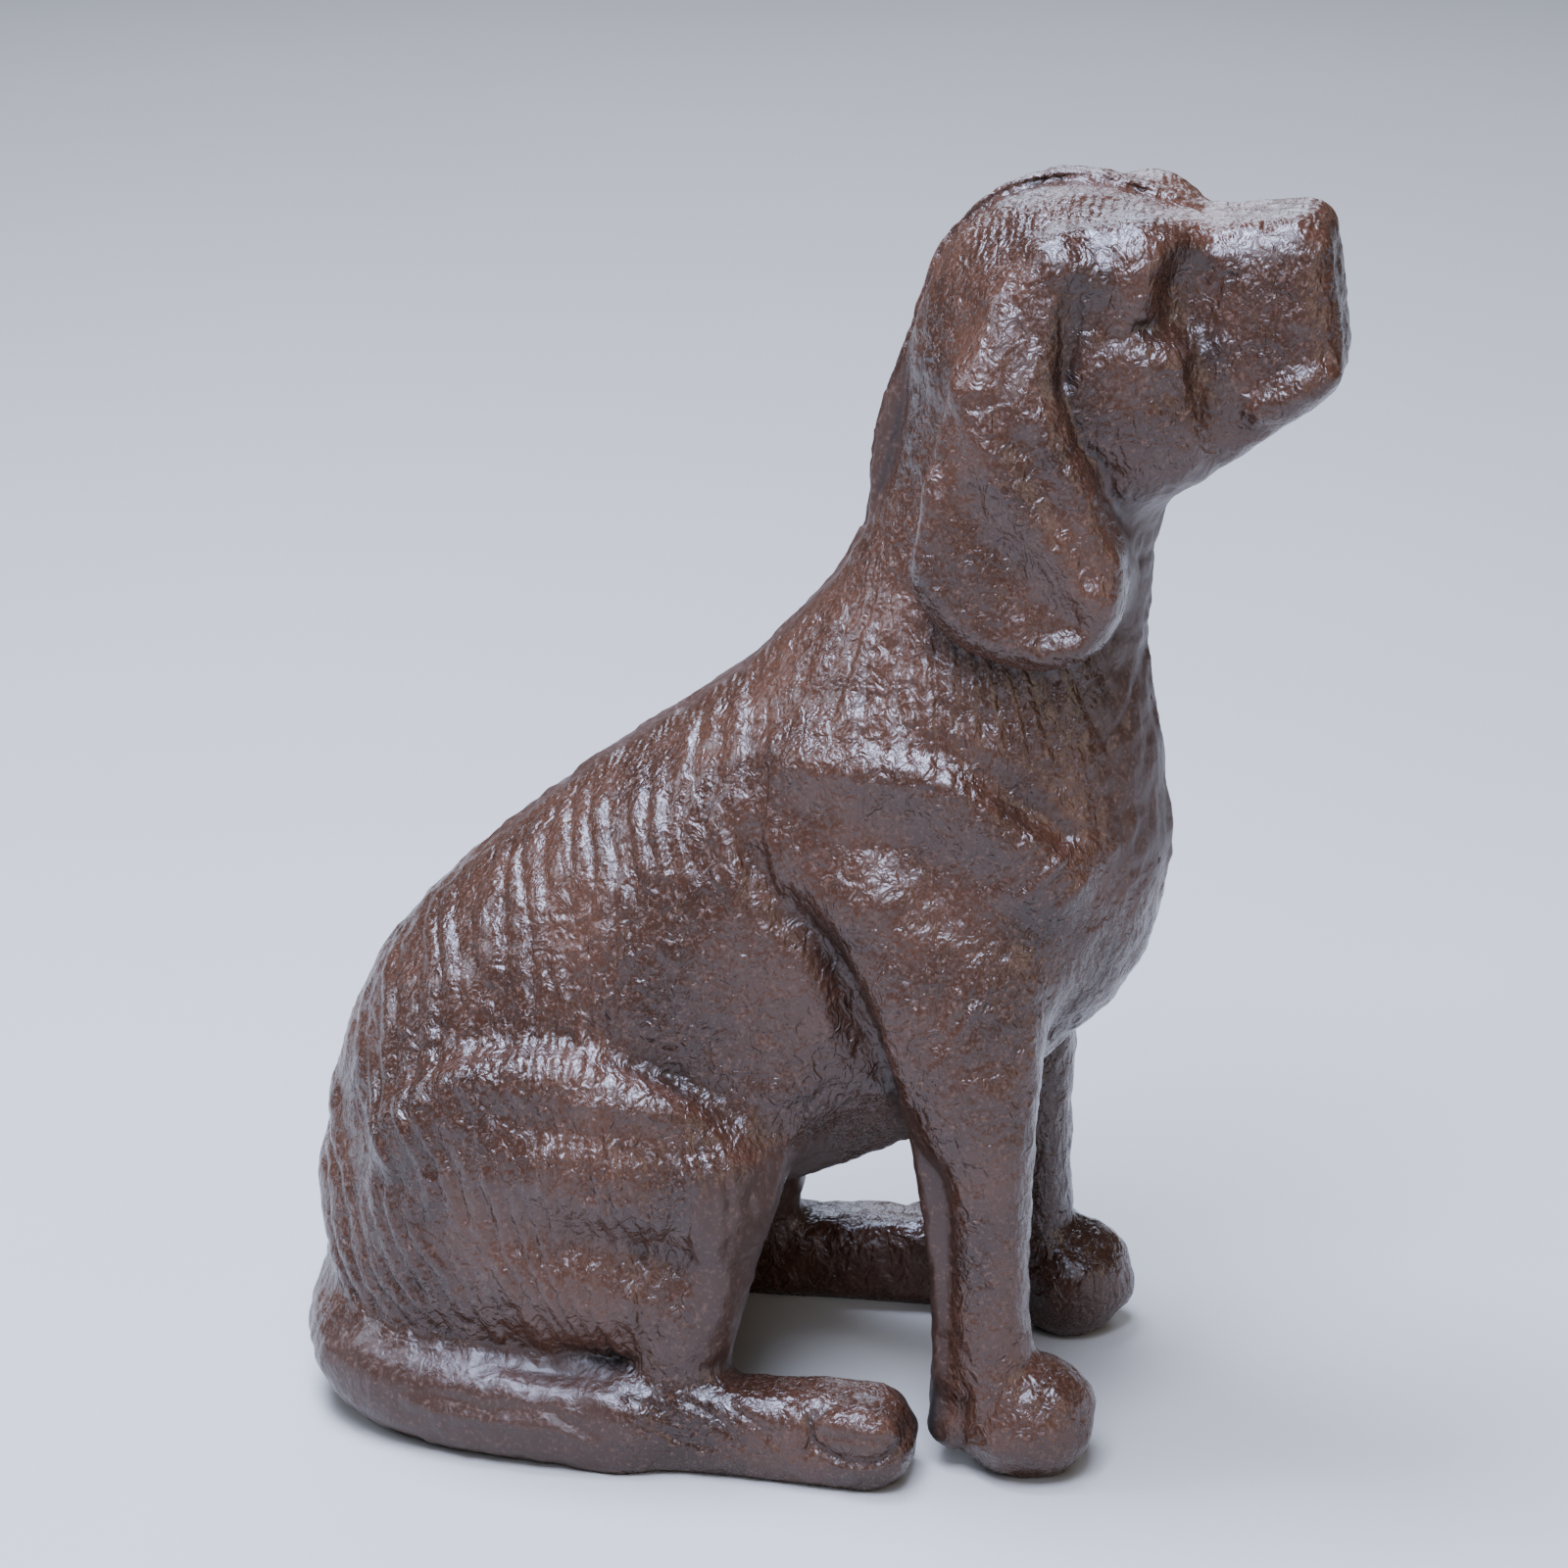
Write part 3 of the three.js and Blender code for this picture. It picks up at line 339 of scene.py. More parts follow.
EYE_SOCKET = Mass([61.4, 17.4, 179.4], [4.4, 4.8, 6.4])
EYE_SLIT = Limb([
  [54.5, 19.4, 176, 0.8, 1.4],
  [58.5, 17.7, 175.8, 0.9, 1.4],
  [62.5, 15, 176.2, 0.9, 1.4]])
CHEEK_GROOVE = Limb([
  [61.3, 15.4, 183, 1.5, 1.7],
  [62.3, 15.6, 175.5, 1.5, 1.7],
  [63.8, 16.4, 170, 1.4, 1.6],
  [65, 16.4, 164.3, 1.2, 1.5],
  [66, 15.8, 159.5, 1.2, 1.5],
  [67.5, 14.6, 153, 1.2, 1.5]])
LIP = Limb([
  [71.5, 12.4, 163.4, 1.6, 1.9],
  [76.5, 12.4, 165.8, 1.8, 2],
  [80, 11.2, 168, 1.5, 1.8]])
EAR_CREASE = Limb([
  [45.2, 22.4, 182, 0.8, 1.4],
  [44.9, 22.1, 175, 1.2, 1.6],
  [44.4, 21.6, 168, 0.7, 1.2]])
NAPE_FLASH = Limb([
  [13.8, 0, 141, 0.8, 1.2],
  [15.2, 0, 150, 2, 1.4],
  [17.8, 0, 160, 2, 1.4],
  [20.6, 0, 170, 0.8, 1.2]])
EAR_FLAP = Strip([
  [42, 184, 3.5],
  [38, 176, 6],
  [35.6, 167, 8],
  [36, 158, 10],
  [36.9, 150, 12.8],
  [37.6, 142, 15.2]])
EAR_FOLD = Strip([[34.5, 175], [31, 165.4], [33.7, 157.6], [38.2, 151.8], [44.6, 144], [50, 136.5]])
EAR_REAR_HOLLOW = Strip([[28, 162], [29.5, 154.4], [33.7, 146.5], [41, 138.8], [46, 133.8]])
EAR_FRONT_HOLLOW = Strip([[39.5, 160], [42.8, 153.5], [46.5, 147.5], [49.5, 142]])
EAR_RIM = Strip([[25, 154], [23.6, 143], [27.7, 135.7], [33.8, 131.4], [41.9, 129], [47.3, 130.3]])
# Each form on the ear's face, with its height and its width
EAR_RELIEF = [
    (EAR_FOLD, 1, 3.2),
    (EAR_REAR_HOLLOW, -1.7, 3.8),
    (EAR_FRONT_HOLLOW, -1.3, 2.4),
    (EAR_RIM, 0.8, 2.2),
]
EAR_TIP = [41.6, 137.6]
EAR_TIP_RADIUS = 12
EAR_LEAN_LOW, EAR_LEAN_HIGH = 158, 186
EAR_TIP_LOW, EAR_TIP_HIGH = 126, 150
EAR_ROOT_LOW, EAR_ROOT_HIGH = 166, 184


def trunk(p):
    d = join(BARREL.distance(*p), CHEST, p, BLEND["chest"])
    return join(join(d, BELLY, p, BLEND["belly"]), NECK, p, BLEND["neck"])


def join_foreleg(d, m):
    d = join(d, SHOULDER, m, BLEND["shoulder"])
    d = join(d, BLADE, m, BLEND["blade"])
    d = carve(d, SHOULDER_HOLLOW, m, BLEND["shoulder_hollow"])
    d = join(d, ARM, m, BLEND["arm"])
    d = join(d, FORELEG, m, BLEND["foreleg"])
    return join(d, FORELEG_WEB, m, BLEND["foreleg_web"])


def join_haunch(d, m):
    d = join(d, THIGH_RIDGE, m, BLEND["thigh_ridge"])
    d = join(d, THIGH_MUSCLE, m, BLEND["thigh_muscle"])
    d = join(d, CALF, m, BLEND["calf"])
    d = join(d, SHANK, m, BLEND["shank"])
    d = join(d, HAM, m, BLEND["ham"])
    return join(d, KNEE, m, BLEND["knee"])


def join_feet(d, m):
    d = join(d, PAW, m, BLEND["paw"])
    d = join(d, HIND_FOOT, m, BLEND["hind_foot"])
    return join(d, TOE, m, BLEND["toe"])


def join_head(d, p, m):
    x, side, z = m
    jaw = JAW_NORMAL[0] * (x - JAW_POINT[0]) + JAW_NORMAL[1] * (z - JAW_POINT[1])
    muzzle = smooth_meet(MUZZLE.distance(*p), jaw, BLEND["jaw"])
    d = smooth_union(join(d, SKULL, p, BLEND["skull"]), muzzle, BLEND["muzzle"])
    d = join(d, CHEEK, m, BLEND["cheek"])
    d = join(d, BROW, m, BLEND["brow"])
    d = carve(d, EYE_SOCKET, m, BLEND["eye_socket"])
    d = join(d, EYE_POUCH, m, BLEND["eye_pouch"])
    d = join(d, LIP, m, BLEND["lip"])
    d = carve(d, EYE_SLIT, m, BLEND["eye_slit"])
    d = carve(d, CHEEK_GROOVE, m, BLEND["cheek_groove"])
    root = ramp(EAR_ROOT_LOW, EAR_ROOT_HIGH, z)
    d = smooth_union(d, ear(*m), BLEND["ear"] + (BLEND["ear_root"] - BLEND["ear"]) * root)
    d = carve(d, EAR_CREASE, m, BLEND["ear_crease"])
    return join(d, NAPE_FLASH, p, BLEND["nape_flash"])


def ear(x, side, z):
    """A flap with a fold down its middle, a hollow on each side of it and a rim."""
    tip = np.hypot(x - EAR_TIP[0], z - EAR_TIP[1]) - EAR_TIP_RADIUS
    outline = smooth_union(EAR_FLAP.distance(x, z), tip, 2)
    face = EAR_STAND_OFF - EAR_TOP_INSET * ramp(EAR_LEAN_LOW, EAR_LEAN_HIGH, z)
    face = face - EAR_TIP_INSET * ramp(EAR_TIP_HIGH, EAR_TIP_LOW, z)
    for shape, height, width in EAR_RELIEF:
        face = face + height * bell(shape.distance(x, z), width)
    return np.maximum(smooth_meet(outline, side - face, EAR_ROUNDING), EAR_BACK - side)


def patch(x, z, centre, radii, tilt, soft=0.25):
    """1 inside a tilted ellipse of the side view and 0 outside it, with a soft edge."""
    along, across = turned(x - centre[0], z - centre[1], tilt)
    return ramp(1 + soft, 1 - soft, np.hypot(along / radii[0], across / radii[1]))


def body(x, y, z):
    """The trunk, neck, shoulders and haunches."""
    m = (x, np.abs(y), z)
    d = join(trunk((x, y, z)), THIGH, m, BLEND["thigh"])
    d = join_haunch(join_foreleg(d, m), m)
    return carve(carve(d, BLADE_GROOVE, m, BLEND["blade_groove"]), ARMPIT_GROOVE, m, BLEND["armpit_groove"])


# The step between the mould's halves fades in up the neck, ends before the muzzle and is steep at the seam
NECK_LOW, NECK_HIGH = 125, 150
SKULL_END, MUZZLE_START = 52, 64
STEP_HALF = 0.6


def smooth_dog(x, y, z):
    """The whole casting. The left half of the head sits a little back and high."""
    in_head = ramp(NECK_LOW, NECK_HIGH, z) * ramp(MUZZLE_START, SKULL_END, x)
    shift = ramp(-STEP_HALF, STEP_HALF, y) * in_head
    x = x + MOULD_SHIFT_BACK * shift
    z = z - MOULD_SHIFT_UP * shift
    p = (x, y, z)
    m = (x, np.abs(y), z)
    d = join_head(body(x, y, z), p, m)
    d = join_feet(d, m)
    return join(join(d, TAIL, p, BLEND["tail"]), TAIL_CREST, p, BLEND["tail_crest"])


def grounded(x, y, z):
    """The whole casting, cut flat by the ground."""
    return np.maximum(smooth_dog(x, y, z), -z)


# The relief of the cast surface, in millimetres outwards

BACK_CRACK = [[-24, 103.5], [-19, 106], [-14.5, 110.5], [-11, 112], [-6, 117]]
THIGH_CRACK = [[-23.5, 50], [-22.4, 47.5], [-21, 45], [-17, 43]]
CHEST_CRACK = [[55, 124], [54, 120], [52.5, 115], [50.5, 112]]
# Each crack's line, depth and width
CRACKS = [(BACK_CRACK, 0.45, 0.6), (THIGH_CRACK, 0.35, 0.5), (CHEST_CRACK, 0.4, 0.6)]
# Swellings and hollows of the haunch: height, centre, radii and tilt
HAUNCH_MUSCLES = [
    (1.5, [-22, 45.5], [21, 6.5], -8),
    (0.9, [-24, 30], [12, 4.5], -14),
    (-1.1, [-17, 37.6], [13, 3.2], -16),
    (-0.7, [-22, 55], [24, 2.6], -6),
]
HAUNCH_SOFTNESS = 0.9
# Unevenness all over: height, size of the lumps and seed
SAND_LUMPS = [(0.22, 4.2, 40), (0.20, 2.1, 41)]
# The same for lumps drawn out upwards, on the forelegs, on the paws and for dents in the body
DRAWN_LUMPS = 0.12, 1.2, 49
LEG_LUMPS = 0.16, 6.5, 43
PAW_LUMPS = 0.6, 6, 45
BODY_DENTS = 0.12, 1.7, 44
# Heights and depths of the seam, the feet and the tail
STEP_DEPTH = 0.5
SEAM_HEIGHT = 0.35
THROAT_FLASH_HEIGHT = 0.7
HEEL_DEPTH = 0.6
TOE_CENTRE, TOE_RADII = [18, 10.2], [6.6, 3.9]
TOE_OUTLINE_DEPTH = 0.75
TOE_GROOVE_DEPTH = 0.45
CREASE_DEPTH = 0.4
TAIL_RIDGE_HEIGHT = 0.45
TAIL_VALLEY_DEPTH = 0.4
TOE_GROOVE = [[13.4, 9.6], [18, 10.2], [22.8, 9.8]]
FOOT_CREASES = [
    [[-17, 12.8], [-12.5, 11.6], [-8.6, 9]],
    [[-8.5, 12.6], [-3.6, 10.8], [-0.4, 7.6]],
    [[-1.4, 12.4], [3, 10.2], [6.4, 6.4]],
    [[-14, 9.2], [-9, 6.4], [-4, 5.6]],
    [[9.6, 13], [11.6, 9.6], [10.6, 5.6]],
]
TAIL_RIDGE = [[-51.6, 8.8], [-45.4, 7.8], [-36.3, 7.8], [-27, 7.4], [-21.3, 5.4]]
TAIL_VALLEY = [[-47.4, 10.7], [-37.9, 9.8], [-28.7, 10.4], [-22.6, 7.4]]


def chance(u, v, seed):
    """A fixed number from 0 to 1 for each pair of whole numbers."""
    value = np.sin(u * 12.9898 + v * 78.233 + seed * 37.719) * 43758.5453
    return value - np.floor(value)


def ripple(u, v, seed):
    """Smooth noise from 0 to 1 with a wave of about 2."""
    i, j = np.floor(u), np.floor(v)
    s, t = ramp(0, 1, u - i), ramp(0, 1, v - j)
    near = chance(i, j, seed) * (1 - s) + chance(i + 1, j, seed) * s
    far = chance(i, j + 1, seed) * (1 - s) + chance(i + 1, j + 1, seed) * s
    return near * (1 - t) + far * t


def lumps(points, size, seed):
    """Smooth noise from -1 to 1 all through space, with lumps of about that size."""
    u, v, w = points.T / size
    layer = np.floor(w)
    t = ramp(0, 1, w - layer)
    return 2 * (ripple(u, v, seed + layer * 5.3) * (1 - t) + ripple(u, v, seed + (layer + 1) * 5.3) * t) - 1


def locks(across, along, pitch, length, seed):
    """Rows of fur: broad ridges with narrow grooves between them, which wander and break up along the way."""
    u = across / pitch + 1.1 * (ripple(across / (2.2 * pitch), along / 9, seed) - 0.5)
    row = np.floor(u)
    ridge = np.sin(np.pi * (u - row)) ** 0.8
    return ridge * (0.2 + 0.8 * ramp(0.22, 0.6, ripple(row * 7.31, along / length, seed + 1)))


def fan(x, z, hub, radius):
    """Places across and along rows that spread from a hub, measured at that radius."""
    along = np.hypot(x - hub[0], z - hub[1])
    return radius * np.arctan2(x - hub[0], np.sign(hub[1]) * (hub[1] - z)), along


def leaning(x, z, degrees):
    """Places across and along straight rows whose tops lean forwards by that angle."""
    c, s = math.cos(math.radians(degrees)), math.sin(math.radians(degrees))
    return c * x - s * z, c * z + s * x


# Where the fur grows, as tilted ellipses of the side view: centre, radii, tilt and softness of the edge
FLANK = [-30, 78], [44, 17], 37
RUMP = [-57, 42], [17, 26], -8
THIGH_FUR = [-26, 46], [25, 14], -10
LOW_FUR = [-30, 26], [20, 9], -12
WITHERS = [-4, 100], [9, 17], 8, 0.35
MANE = [28, 121], [25, 9.5], -8, 0.3
BREAST = [52, 106], [7, 11], 0, 0.4
SHOULDER_STROKES = [43.5, 95], [5.5, 6], 0, 0.4
ARM_STROKES = [35, 74], [5, 5.5], 0, 0.4
MANE_HUB = [24, 178]
MANE_HUB_RADIUS = 62
BREAST_PITCH = 2.4
SHOULDER_PITCH, SHOULDER_LEAN = 2.9, 48
ARM_PITCH, ARM_LEAN = 3.4, 32


def coat(x, side, z):
    """The fur of the flank, rump and thigh, of the neck, of the breast and of the arm."""
    sweep = FUR_SWEEP * ramp(4, -34, x)
    swept = x - sweep * np.exp(-z / FUR_SWEEP_HEIGHT)
    upright = x + 0.1 * z
    flank = patch(x, z, *FLANK) * ramp(7, 1, x)
    rear = np.maximum(patch(x, z, *RUMP), np.maximum(patch(x, z, *THIGH_FUR), 0.85 * patch(x, z, *LOW_FUR)))
    wide = patch(x, z, *WITHERS)
    rows = locks(swept, z, FLANK_PITCH, 16, 3) * np.maximum(flank, rear) * (1 - 0.8 * wide)
    rows = np.maximum(rows, 1.1 * locks(upright, z, WITHERS_PITCH, 26, 9) * wide)
    across, along = fan(x, z, MANE_HUB, MANE_HUB_RADIUS)
    rows = np.maximum(rows, locks(across, along, MANE_PITCH, 30, 15) * patch(x, z, *MANE))
    rows = np.maximum(rows, 0.6 * locks(upright, z, BREAST_PITCH, 8, 21) * patch(x, z, *BREAST))
    across, along = leaning(x, z, SHOULDER_LEAN)
    strokes = locks(across, along, SHOULDER_PITCH, 12, 27) * patch(x, z, *SHOULDER_STROKES)
    rows = np.maximum(rows, 0.9 * strokes)
    across, along = leaning(x, z, ARM_LEAN)
    strokes = locks(across, along, ARM_PITCH, 12, 33) * patch(x, z, *ARM_STROKES)
    rows = np.maximum(rows, 0.9 * strokes)
    return rows * ramp(4, 10, side)


def line(x, z, points, width):
    """1 along a line of the side view, fading out over that width."""
    return bell(Strip(points).distance(x, z), width)


def haunch_relief(x, side, z):
    """Swellings and hollows of the haunch."""
    height = 0
    for swell, centre, radii, tilt in HAUNCH_MUSCLES:
        height = height + swell * patch(x, z, centre, radii, tilt, HAUNCH_SOFTNESS)
    return height * ramp(24, 30, side)


def sand_relief(points, on_body):
    """The unevenness that the mould's sand leaves, rounder on the forelegs and the paws."""
    x, _, z = points.T
    legs = ramp(72, 60, z) * ramp(20, 26, x)
    paws = ramp(18, 12, z) * ramp(20, 30, x)
    height = 0
    for rise, size, seed in SAND_LUMPS:
        height = height + rise * lumps(points, size, seed)
    rise, size, seed = DRAWN_LUMPS
    height += rise * lumps(points * [1, 1, 0.7], size, seed)
    for (rise, size, seed), place in ((LEG_LUMPS, legs), (PAW_LUMPS, paws)):
        height += rise * lumps(points, size, seed) * place
    rise, size, seed = BODY_DENTS
    return height - rise * np.abs(lumps(points * [1, 1, 0.55], size, seed)) * on_body * (1 - legs)


def seam_relief(points):
    """Where the mould's halves met: a rough strip along the step of the head, and a raised line elsewhere."""
    x, y, z = points.T
    on_head = ramp(132, 140, z) * ramp(66, 58, x)
    strip = ramp(3.4, 2.4, np.abs(y - 2.6)) * on_head
    height = -STEP_DEPTH * ramp(0.1, 0.7, lumps(points, 1.5, 46)) * strip
    height -= STEP_DEPTH * bell(y - 0.1, 0.45) * on_head
    height += SEAM_HEIGHT * bell(y, 0.7) * (1 - on_head) * ramp(-0.4, 0.5, lumps(points, 5, 47))
    throat = ramp(58, 62, x) * ramp(134, 138, z) * ramp(158, 152, z)
    return height + THROAT_FLASH_HEIGHT * bell(y, 1.0) * throat * ramp(0.0, 0.6, lumps(points, 2.4, 48))


def foot_relief(x, side, z):
    """The crease behind each forefoot, the outline of the toe and the creases of the hind foot."""
    low = ramp(17, 14, z)
    heel = bell(x - 33.6 + 0.12 * (16 - z), 0.9) * ramp(27, 30, side) * low
    foot = ramp(30, 35, side) * low
    toe = np.hypot((x - TOE_CENTRE[0]) / TOE_RADII[0], (z - TOE_CENTRE[1]) / TOE_RADII[1])
    height = -HEEL_DEPTH * heel - TOE_OUTLINE_DEPTH * bell(5 * (toe - 1.1), 0.8) * foot * ramp(9, 11, x)
    height -= TOE_GROOVE_DEPTH * line(x, z, TOE_GROOVE, 0.5) * foot
    for crease in FOOT_CREASES:
        height -= CREASE_DEPTH * line(x, z, crease, 0.5) * foot
    return height


def tail_relief(x, y, z):
    """The ridge along the tail and the valley over it."""
    on_tail = ramp(30, 34, -y) * ramp(-16, -20, x)
    ridge = TAIL_RIDGE_HEIGHT * line(x, z, TAIL_RIDGE, 1.1)
    return (ridge - TAIL_VALLEY_DEPTH * line(x, z, TAIL_VALLEY, 0.9)) * on_tail


def crack_relief(x, y, z):
    """Cracks and creases on the side that the photograph shows."""
    height = 0
    for crack, depth, width in CRACKS:
        height = height - depth * line(x, z, crack, width)
    return height * ramp(1, -1, y)


def relief(points, on_body):
    """How far the surface stands out of the smooth form."""
    x, y, z = points.T
    side = np.abs(y)
    body_height = COAT_HEIGHT * coat(x, side, z) + haunch_relief(x, side, z) + crack_relief(x, y, z)
    height = body_height * on_body + sand_relief(points, on_body) + seam_relief(points)
    return height + foot_relief(x, side, z) + tail_relief(x, y, z)


# The skin: distances on ever finer grids near the surface, then one vertex in each cell that it crosses


def sample(form):
    """Distances on the finest grid, exact near the surface and rough ones away from it."""
    low, step = np.array(BOX_LOW, float), GRID_STEPS[0]
    counts = np.ceil((np.array(BOX_HIGH) - low) / step).astype(int)
    values, near = np.zeros(counts, np.float32), np.ones(counts, bool)
    while True:
        places = (low + step * (np.argwhere(near) + 0.5)).astype(np.float32)
        found = [form(*part.T) for part in np.array_split(places, len(places) // 300000 + 1)]
        values[near] = np.concatenate(found)
        if step == GRID_STEPS[-1]:
            return values, low + 0.5 * step, step
        near = np.abs(values) < 1.5 * step
        step /= 2
        for axis in range(3):
            values, near = values.repeat(2, axis), near.repeat(2, axis)


def skin(values, origin, step):
    """Vertices and quads of the surface where the values change sign."""
    inside = values < 0
    corners = [(i, j, k) for i in (0, 1) for j in (0, 1) for k in (0, 1)]

    def shifted(grid, corner):
        return grid[tuple(slice(c, n - 1 + c) for c, n in zip(corner, grid.shape))]

    count = sum(shifted(inside, corner).astype(np.int8) for corner in corners)
    crossed = (count > 0) & (count < 8)
    cells = np.argwhere(crossed)
    number = np.full(crossed.shape, -1, np.int32)
    number[crossed] = np.arange(len(cells))
    value = {corner: values[tuple((cells + corner).T)] for corner in corners}
    total, hits = np.zeros((len(cells), 3)), np.zeros(len(cells))
    for a in corners:
        for axis in range(3):
            if a[axis] == 0:
                b = tuple(1 if i == axis else a[i] for i in range(3))
                hit = (value[a] < 0) != (value[b] < 0)
                point = np.tile(np.array(a, float), (hit.sum(), 1))
                point[:, axis] += value[a][hit] / (value[a][hit] - value[b][hit])
                total[hit] += point
                hits[hit] += 1
    vertices = origin + step * (cells + total / hits[:, None])
    quads = []
    for axis in range(3):
        u, v = [(axis + 1) % 3, (axis + 2) % 3]
        lower, upper = np.delete(inside, -1, axis), np.delete(inside, 0, axis)
        for leaving in (True, False):
            edges = np.argwhere(lower & ~upper if leaving else ~lower & upper)
            ring = []
            for du, dv in ((1, 1), (0, 1), (0, 0), (1, 0)):
                cell = edges.copy()
                cell[:, u] -= du
                cell[:, v] -= dv
                ring.append(number[tuple(cell.T)])
            quads.append(np.stack(ring if leaving else ring[::-1], 1))
    return vertices, np.vstack(quads)


def slopes(form, points, probe=0.12):
    """The form's distance at each point, and which way it grows fastest."""
    x, y, z = points.T
    d = form(x, y, z)
    rise = np.stack([form(x + probe, y, z) - d, form(x, y + probe, z) - d, form(x, y, z + probe) - d], 1)
    return d, rise / probe


def settle(form, points, reach):
    """Moves the points onto the form's surface, by no more than the reach."""
    d, rise = slopes(form, points)
    steepness = np.maximum((rise**2).sum(1), 0.3)
    return points - np.clip(d / steepness, -reach, reach)[:, None] * rise


def mesh_of(name, vertices, faces):
    mesh = bpy.data.meshes.new(name)
    mesh.vertices.add(len(vertices))
    mesh.vertices.foreach_set("co", np.asarray(vertices, np.float32).ravel())
    mesh.loops.add(faces.size)
    mesh.loops.foreach_set("vertex_index", faces.astype(np.int32).ravel())
    mesh.polygons.add(len(faces))
    mesh.polygons.foreach_set("loop_start", np.arange(0, faces.size, faces.shape[1], dtype=np.int32))
    mesh.update(calc_edges=True)
    return mesh


def thinned(mesh, kept):
    """The mesh with its smooth places made coarser, in triangles."""
    whole = bpy.data.objects.new("whole", mesh)
    bpy.context.scene.collection.objects.link(whole)
    modifier = whole.modifiers.new("thin", "DECIMATE")
    modifier.ratio = min(1.0, kept / (2 * len(mesh.polygons)))
    modifier.use_collapse_triangulate = True
    result = bpy.data.meshes.new_from_object(whole.evaluated_get(bpy.context.evaluated_depsgraph_get()))
    bpy.data.objects.remove(whole)
    return result


def outward(form, points):
    """The way out of the form at each point, one long."""
    _, rise = slopes(form, points)
    return rise / np.maximum(np.linalg.norm(rise, axis=1), 0.2)[:, None]


def make_dog():
    vertices, quads = skin(*sample(grounded))
    vertices = settle(grounded, vertices, 0.3)
    on_body = ramp(1.1, 0.3, np.abs(body(*vertices.T)))
    raised = relief(vertices, on_body) * ramp(0.2, 1.2, vertices[:, 2])
    vertices = vertices + raised[:, None] * outward(grounded, vertices)
    mesh = thinned(mesh_of("sampled", vertices, quads), KEPT_TRIANGLES)
    points = np.empty(3 * len(mesh.vertices), np.float32)
    mesh.vertices.foreach_get("co", points)
    points = points.reshape(-1, 3)
    measures = {
        # shelter drives the painted shade of the hollows in the material's colour
        "shelter": sheltered(points),
        "smooth": smooth_places(points),
        "tooled": tooled_places(points),
    }
    low, high = points.min(0), points.max(0)
    centre = (cad_low + cad_high) / 2 / MM
    shift = np.array([centre[0] - (low[0] + high[0]) / 2, centre[1] - (low[1] + high[1]) / 2, 0])
    placed = np.clip((points + shift) * MM, cad_low, cad_high)
    placed[:, 2] = np.where(placed[:, 2] < 0.15 * MM, 0, placed[:, 2])
    mesh.vertices.foreach_set("co", placed.astype(np.float32).ravel())
    mesh.polygons.foreach_set("use_smooth", np.ones(len(mesh.polygons), bool))
    for name, values in measures.items():
        layer = mesh.attributes.new(name, "FLOAT", "POINT")
        layer.data.foreach_set("value", values.astype(np.float32))
    mesh.update()
    piece = bpy.data.objects.new("dog_casting", mesh)
    bpy.context.scene.collection.objects.link(piece)
    return piece, shift


def smooth_places(points):
    """0 where the casting has its grain, rising to 1 where it was ground or rubbed smooth."""
    x, y, z = points.T
    side = np.abs(y)
    spine = ramp(5, 2, side) * ramp(84, 90, z) * ramp(168, 160, z) * ramp(24, 16, x - 0.2 * (z - 120))
    throat = ramp(46, 52, x) * ramp(84, 96, z) * ramp(158, 150, z) * ramp(20, 14, side)
    leg_web = ramp(66, 58, z) * ramp(31.5, 29.5, x) * ramp(18, 24, x) * ramp(34, 30, side)
    thigh_web = ramp(-9, -5, x) * ramp(52, 46, z) * ramp(14, 18, z) * ramp(12, 8, x)
    tail = ramp(-16, -22, x) * ramp(19, 15, z) * ramp(24, 30, -y)
    return np.maximum.reduce([spine, throat, leg_web, thigh_web, 0.8 * tail])


def tooled_places(points):
    """1 on the bands of fine strokes along the skull, the spine and the top of the muzzle."""
    x, y, z = points.T
    side = np.abs(y)
    skull = ramp(16, 12, side) * ramp(4, 6, side) * ramp(182, 186, z) * ramp(24, 30, x) * ramp(60, 56, x)
    spine = ramp(10, 7, side) * ramp(2.5, 4, side) * ramp(84, 90, z) * ramp(6, 0, x) * ramp(-42, -34, x)
    muzzle = ramp(11, 9, side) * ramp(186.5, 188, z) * ramp(63, 66, x) * ramp(80, 77, x)
    return np.maximum.reduce([skull, spine, muzzle])


def sheltered(points):
    """How deep each point lies in a hollow: 0 in the open and 1 in a narrow crevice."""
    way, total = outward(grounded, points), 0
    for reach in (1.5, 5):
        total = total + np.clip(1 - grounded(*(points + reach * way).T) / reach, 0, 1)
    return total / 2


# Materials


